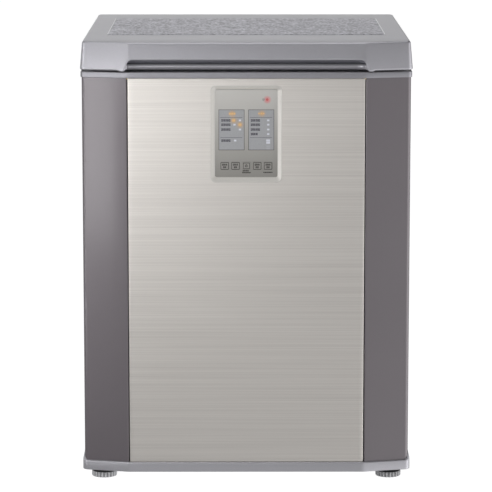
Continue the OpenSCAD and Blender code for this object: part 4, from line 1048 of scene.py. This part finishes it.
# %% [markdown]
# The wall over the grip's lip lies in the notch's shade, and that shade is painted: the lip is as silver as
# the lid, and the wall above it is painted dark, more so with height.

# %% Grip
grip_finish = Finish("silver_grip", metallic=0.5)
lip_top = GRIP.z0 + LIP_MID + LIP_R
# painted shade: 0 on the lip, 1 on the wall above it, which is coloured dark
painted_recess_shade = grip_finish.climb(2, lip_top - 2.2, lip_top - 0.2)
spray = grip_finish.grain(900, 3)
grip_finish.dress(painted_recess_shade - spray * 0.06, (186, 185, 191), (98, 98, 106),
                  0.28 + painted_recess_shade * 0.2 + spray * 0.08, spray, 0.1)
coat(grip_finish, "lid_grip")

# %% [markdown]
# ### Patterned plate
#
# The plate in the lid has a printed mottle, light and dark specks of a few millimetres under a satin
# lacquer. Two sizes of noise give it, one for the specks and one for a slow drift.

# %% Mottled plate
plate_finish = Finish("mottled_plate", metallic=0.45)
specks = plate_finish.grain(230, 3, 0.6, (1, 0.32, 1))
patches = plate_finish.grain(60, 3, 0.6, (1, 0.4, 1))
mottle = (specks * 0.7 + patches * 0.3).ramp(0.38, 0.66)
plate_finish.dress(mottle, (144, 143, 151), (222, 221, 230),
                   0.42 + mottle * -0.08 + plate_finish.grain(700) * 0.08,
                   specks * 0.6 + plate_finish.grain(900) * 0.4, 0.2, 0.0003)
coat(plate_finish, "patterned_plate")

# %% [markdown]
# ### Brushed stainless steel
#
# The front is rolled sheet, brushed from side to side. Its scratches are long and very thin, so the
# noise is drawn out along X and pressed together along Z. They change the roughness and tilt the
# surface a little, which smears every reflection up and down.

# %% Stainless
steel = Finish("brushed_steel", metallic=1.0)
fine = steel.grain(90, 3, 0.6, (0.02, 1, 26))
coarse = steel.grain(30, 4, 0.6, (0.06, 1, 12))
slow = steel.grain(3.5, 2, 0.5, (0.6, 1, 1.4))
scratches = fine * 0.65 + coarse * 0.35
steel.dress(scratches.ramp(0.25, 0.75), (210, 205, 200), (244, 240, 235),
            0.3 + fine * 0.14 + slow * 0.06, scratches, 0.25)
coat(steel, "steel_front")

# %% [markdown]
# ### Coated side sheets
#
# The sides are steel with a dark, warm grey enamel. Sprayed enamel never dries quite flat: it keeps
# a faint skin like an orange's, which breaks up reflections.

# %% Dark enamel
enamel = Finish("dark_enamel", metallic=0.35, coat_weight=0.6, coat_roughness=0.16)
peel = enamel.grain(260)
flecks = enamel.grain(2200, 1)
enamel.dress(flecks * 0.6 + enamel.grain(5, 3) * 0.4, (101, 95, 99), (121, 115, 120),
             0.34 + peel * 0.1, peel, 0.16, 0.0004)
coat(enamel, "side_sheet_left", "side_sheet_right")

# %% [markdown]
# ### Film, windows and lamps
#
# The control panel is one sheet of printed film, painted a little darker towards its foot as painted
# shade, and the windows in it are smoked. Behind a lit sign the film glows too, and that glow is painted:
# the sign's colour is laid round it as a halo, on the film and in the windows.

# %% Control panel
LAMP = extent("status_lamps")


def halo(made, x, z, near, far):
    """1 within near of a point of the film, and 0 beyond far: where the light that a lit sign spills is
    painted on.
    """
    point = (x * MM, FASCIA.y0 * MM, z * MM)
    spot = made.node("VectorMath", {"operation": "DISTANCE"},
                     {"Vector": made.place(), "Vector_001": point}, "Value")
    return 1 - spot.ramp(near * MM, far * MM)


film = Finish("printed_film", metallic=0.35, coat_weight=0.25, coat_roughness=0.2)
# painted shade: the film's colour darkens towards its foot
painted_shade_by_height = film.climb(2, FASCIA.z0, FASCIA.z1)
# painted glow: the lamp's pink laid on the film round it
painted_pink_glow = halo(film, LAMP.x1 - 2, LAMP.z, 2.5, 7.5) ** 0.7
screen_grain = film.grain(1500)
film.dress(painted_pink_glow * 0.75, film.mix(painted_shade_by_height, (150, 148, 143), (205, 203, 199)), (226, 128, 130),
           0.3 + screen_grain * 0.1, screen_grain, 0.05, 0.0001)
coat(film, "control_fascia", *[f"key_cap_{i}" for i in range(1, 6)])

glass = Finish("smoked_window", coat_weight=0.5, coat_roughness=0.08)
cloud = glass.grain(400, 3)
# painted glow: amber laid on the windows round the lit signs
painted_amber_glow = cloud * 0
for x, z in ((LEFT + 15.2, 9.4), (LEFT + 4, 17.2), (LEFT + 1.2, 29.3), (RIGHT + 1.3, 29.5)):
    painted_amber_glow = painted_amber_glow + halo(glass, x, FILM.z + z, 1, 9) ** 1.5 * 0.8
glass.dress(painted_amber_glow, glass.mix(cloud, (164, 165, 168), (174, 175, 178)), (222, 172, 104),
            0.25 + glass.grain(900) * 0.06, glass.grain(700), 0.03, 0.0001)
coat(glass, "display_windows")


def ink(name, colour, glow=0.0):
    """Printed ink, or a lit sign where glow is above nothing: slightly uneven, as screen print is."""
    made = Finish(name, emission_strength=glow)
    patch = made.grain(1800)
    made.dress(patch, *tones(colour, 6), 0.5, patch, 0.05, 0.0001)
    made.set(emission_color=made.colour)
    return made


coat(ink("ink_violet", (52, 48, 64)), "window_print")
coat(ink("lit_white", (206, 208, 216), 0.08), "window_lit_white")
coat(ink("lit_amber", (214, 178, 124), 0.1), "window_lit_painted_amber_glow")
coat(ink("lit_grey", (176, 177, 181)), "window_lit_grey")
coat(ink("ink_dark", (84, 83, 78)), "window_frames")
coat(ink("ink_keys", (50, 45, 42)), "film_notes",
     *[f"key_{mark}_{i}" for i in range(1, 6) for mark in ("ring", "print")])

lamp = Finish("signal_lamp", coat_weight=0.6, emission_strength=0.2)
lit = lamp.climb(0, LAMP.x - 0.1, LAMP.x)
lamp.set(base_color=lamp.mix(lit - lamp.grain(900) * 0.2, (172, 170, 167), (196, 96, 98)),
         emission_color=lamp.mix(lit, (0, 0, 0), (206, 84, 84)), roughness=0.25)
coat(lamp, "status_lamps")

# %% [markdown]
# ### The plain plastics, rubber and foam
#
# White, black and grey parts are moulded, with the fine texture that an eroded mould leaves. One
# function makes them all, since only colour, gloss and grain differ.


# %% Moulded plastics and rubber
def moulded(name, colour, spread, roughness, texture=700, depth=0.15):
    """Moulded plastic: a drift of colour, a fine eroded texture and a gloss that follows it."""
    made = Finish(name)
    skin_grain = made.grain(texture, 3, 0.55)
    made.dress(made.grain(9, 3) * 0.6 + skin_grain * 0.4, *tones(colour, spread),
               roughness + skin_grain * 0.14, skin_grain, depth, 0.0003)
    return made


coat(moulded("white_plastic", (226, 227, 226), 5, 0.38), "lid_inside", "sensor_cover", "control_housing",
     "fan_blade", "control_box")
coat(moulded("black_plastic", (38, 38, 40), 5, 0.5), "terminal_cover", "fan_shroud", "wiring_harness",
     "cord_gland", "roller_left", "roller_right")
coat(moulded("seal_rubber", (150, 151, 152), 6, 0.62, 500, 0.3), "door_seal")
coat(moulded("black_rubber", (32, 31, 31), 6, 0.75, 420, 0.4), "gap_strips_painted_shade", "compressor_grommets")

# The foot's painted shade runs from light grey on the ribs to near black in the grooves and on the disc's
# top.
foot_grey_painted_shade = Finish("foot_plastic")
deep = foot_grey_painted_shade.stored("groove")
mould = foot_grey_painted_shade.grain(700, 3, 0.55)
foot_grey_painted_shade.dress(deep - mould * 0.12, (205, 205, 208), (20, 20, 22), 0.4 + deep * 0.3 + mould * 0.1,
                mould, 0.15, 0.0003)
coat(foot_grey_painted_shade, "ribbed_foot_left", "ribbed_foot_right")

foam = Finish("foam")
bubbles = foam.cells(420)
foam.dress(bubbles.ramp(0.1, 0.7) * 0.7 + foam.grain(14, 4) * 0.3, (232, 216, 168), (211, 188, 132),
           0.9, bubbles, 0.6, 0.0008)
coat(foam, "body_foam", "lid_foam")

# %% [markdown]
# ### Metals inside and behind
#
# The tub is embossed aluminium, the back is galvanised sheet with its flower of zinc crystals, the
# screws and hinges are bright zinc, and the machine room holds black paint, cast iron and copper.


# %% Metals
def metal(name, dark, light, roughness, pattern, depth=0.2, step=0.0002, metallic=1.0):
    """Metal whose colour, gloss and relief all follow one pattern, given as a function of the finish."""
    made = Finish(name, metallic=metallic)
    amount = pattern(made)
    made.dress(amount, dark, light, roughness + amount * 0.12 + made.grain(25, 3) * 0.06, amount, depth, step)
    return made


def spangle(made):
    """Zinc crystals, each with its own grey, under a fine grain."""
    return made.shades(70) * 0.8 + made.grain(900) * 0.2


def stucco(made):
    """Embossed dimples a few millimetres apart."""
    return made.cells(210, feature="SMOOTH_F1").ramp(0.1, 0.75)


def speckle(scale, detail):
    """A pattern of plain noise."""
    return lambda made: made.grain(scale, detail)


coat(metal("galvanised", (150, 153, 155), (188, 191, 192), 0.36, spangle, 0.1),
     "back_panel", "machine_bulkhead", "base_pan", "rear_cover")
coat(metal("embossed_aluminium", (198, 200, 202), (222, 224, 226), 0.3, stucco, 0.7, 0.0006), "inner_liner")
coat(metal("copper", (176, 106, 72), (208, 138, 100), 0.3, speckle(60, 4)),
     "evaporator_tube", "filter_drier", "refrigerant_pipes")
coat(metal("bright_zinc", (168, 170, 168), (200, 201, 198), 0.3, speckle(320, 3)),
     "compressor_bolts", "fan_motor", "rear_screws", "foot_sockets", "foot_stud_left", "foot_stud_right",
     "roller_brackets", "roller_axles", "hinge_brackets", "hinge_pins", "hinge_springs", "hinge_screws",
     "hinge_arms")
coat(metal("cast_iron", (84, 82, 80), (118, 115, 112), 0.55, speckle(420, 4), 0.6, 0.0006), "compressor_pump")
coat(metal("black_paint", (24, 24, 26), (38, 38, 40), 0.3, speckle(300, 3), metallic=0.0),
     "compressor_shell", "condenser_coil")

board = Finish("circuit_board", coat_weight=0.4)
tracks = board.cells(520, feature="DISTANCE_TO_EDGE").ramp(0.02, 0.08)
board.dress(tracks, (120, 150, 96), (34, 92, 58), 0.4, tracks, 0.3, 0.0001, metallic=(1 - tracks) * 0.5)
coat(board, "display_board", "main_board")

# %% [markdown]
# ## Camera, floor and light
#
# The picture was taken with a long lens a little above the machine, tilted down. The machine stands
# on white paper in a studio. The lens stands for that one: a normal lens from nearer by would show
# more of the top and make the foot narrow.

# %% Camera
CAMERA = (-0.012, -5.4, 1.261)
PITCH = math.radians(9.14)
TURN = math.radians(-0.128)
lens = bpy.data.cameras.new("camera")
lens.lens = 207.6
lens.sensor_width = 36
camera = bpy.data.objects.new("camera", lens)
camera.location = CAMERA
camera.rotation_euler = (math.pi / 2 - PITCH, 0, TURN)
bpy.context.scene.collection.objects.link(camera)
bpy.context.scene.camera = camera
bpy.context.scene.view_settings.view_transform = "Standard"
print("camera at", CAMERA, "with a lens of", round(lens.lens), "mm")

# %% [markdown]
# The paper could be lit until it is white, but then it would throw a lot of light onto the machine. So
# it shines by itself, evenly, and neither lights the machine nor shows in its reflections.

# %% Floor
corners = np.array([(-20, -20, 0), (20, -20, 0), (20, 24, 0), (-20, 24, 0)]) / MM
floor = mesh_object("floor", corners, [[0, 1, 2, 3]])
paper = Finish("white_paper", base_color=(0.2, 0.2, 0.2, 1), roughness=0.9, emission_color=(1, 1, 1, 1),
               emission_strength=1.0)
floor.data.materials.append(paper.material)
floor.visible_glossy = floor.visible_diffuse = floor.visible_shadow = False
floor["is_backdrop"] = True
print("floor:", len(floor.data.polygons), "face")

# %% [markdown]
# The picture's light is soft. Lamps stand in front on the machine's left and above it, tall strips far
# out at both sides draw the bright lines along its rounded corners, and only a little comes from behind.

# %% Lamps
BODY_MIDDLE = (0, 0, 0.45)
UPPER_MIDDLE = (0, 0, 0.6)
STRIP_AIM = (0, -0.2, 0.5)
STRIP_SIZE = (0.25, 1.8)


def softbox(name, place, aim, size, power):
    """A rectangular lamp at place that faces aim."""
    data = bpy.data.lights.new(name, "AREA")
    data.shape = "RECTANGLE"
    data.size, data.size_y = size
    data.energy = power
    obj = bpy.data.objects.new(name, data)
    obj.location = place
    obj.rotation_euler = (Vector(aim) - Vector(place)).to_track_quat("-Z", "Y").to_euler()
    obj.visible_camera = False
    bpy.context.scene.collection.objects.link(obj)
    print(f"{name}: {power} W")


softbox("left_front_light", (-0.9, -2.6, 0.9), BODY_MIDDLE, (0.8, 0.8), 5.2)
softbox("left_low_light", (-1.6, -2.2, 0.4), BODY_MIDDLE, (0.8, 0.6), 7.5)
softbox("left_near_light", (-0.8, -1.2, 1.5), UPPER_MIDDLE, (0.5, 0.5), 1.8)
softbox("left_corner_light", (-0.45, -2.4, 0.55), UPPER_MIDDLE, (0.3, 0.3), 1.8)
softbox("left_strip_light", (-2.12, -1.43, 0.7), STRIP_AIM, STRIP_SIZE, 11)
softbox("left_far_strip_light", (-2.3, -0.9, 0.7), STRIP_AIM, STRIP_SIZE, 6)
softbox("right_far_strip_light", (2.3, -0.9, 0.7), STRIP_AIM, STRIP_SIZE, 1.6)
softbox("top_light", (0, -0.2, 2.4), BODY_MIDDLE, (1.6, 1.6), 12.5)
softbox("top_front_light", (0, -1.6, 2.4), BODY_MIDDLE, (1.6, 1.0), 5.6)
softbox("back_light", (0, 2.2, 1.6), BODY_MIDDLE, (1.6, 1.0), 0.5)
softbox("back_card_light", (0, 1.6, 1.0), (0, 0, 0.8), (2.4, 0.3), 1)

# %% [markdown]
# Round the lamps, the studio's walls give a soft light of their own. The world is a sum of broad
# glows, each brightest in one direction and falling off as a power of the cosine. The camera sees
# plain white instead.

# %% Studio walls
world = bpy.data.worlds.new("studio")
bpy.context.scene.world = world
world.use_nodes = True
studio = Nodes(world.node_tree)
toward = studio.node("TexCoord", {}, {}, "Generated")


def glow(azimuth, elevation, power, strength):
    """Strength times the cosine to the given direction, raised to a power. Azimuth 0 is in front of the
    machine, 90 on its left, -90 on its right, 180 behind it."""
    a, e = math.radians(azimuth), math.radians(elevation)
    middle = (-math.sin(a) * math.cos(e), -math.cos(a) * math.cos(e), math.sin(e))
    facing = studio.node("VectorMath", {"operation": "DOT_PRODUCT"},
                         {"Vector": toward, "Vector_001": middle}, "Value")
    return facing.math("MAXIMUM", facing, 0.0) ** power * strength


walls = glow(0, -90, 3, 0.4)
for wall in ((0, -10, 6, 0.2), (-25, -12, 30, 0.55), (-45, -25, 6, 0.43), (-90, -20, 6, 2.6),
             (135, 10, 6, 1.03), (-26, -34, 30, 1.1), (180, 3, 80, 0.88), (180, 20, 30, 0.07),
             (180, 40, 6, 0.09)):
    walls = walls + glow(*wall)
dark = studio.node("Background", {}, {"Color": walls, "Strength": 1.0})
white = studio.node("Background", {}, {"Color": (1, 1, 1, 1), "Strength": 1.1})
seen = studio.node("LightPath", {}, {}, "Is Camera Ray")
both = studio.node("MixShader", {}, {"Fac": seen, "Shader": dark, "Shader_001": white})
studio.put(studio.tree.nodes["World Output"], {"Surface": both})
print("world:", len(studio.tree.nodes), "nodes")

# %% [markdown]
# The last cell measures the whole model, so that it can be compared with the CAD.

# %% Finish
low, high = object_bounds()
print("visual box", [round(v, 4) for v in (*low, *high)])
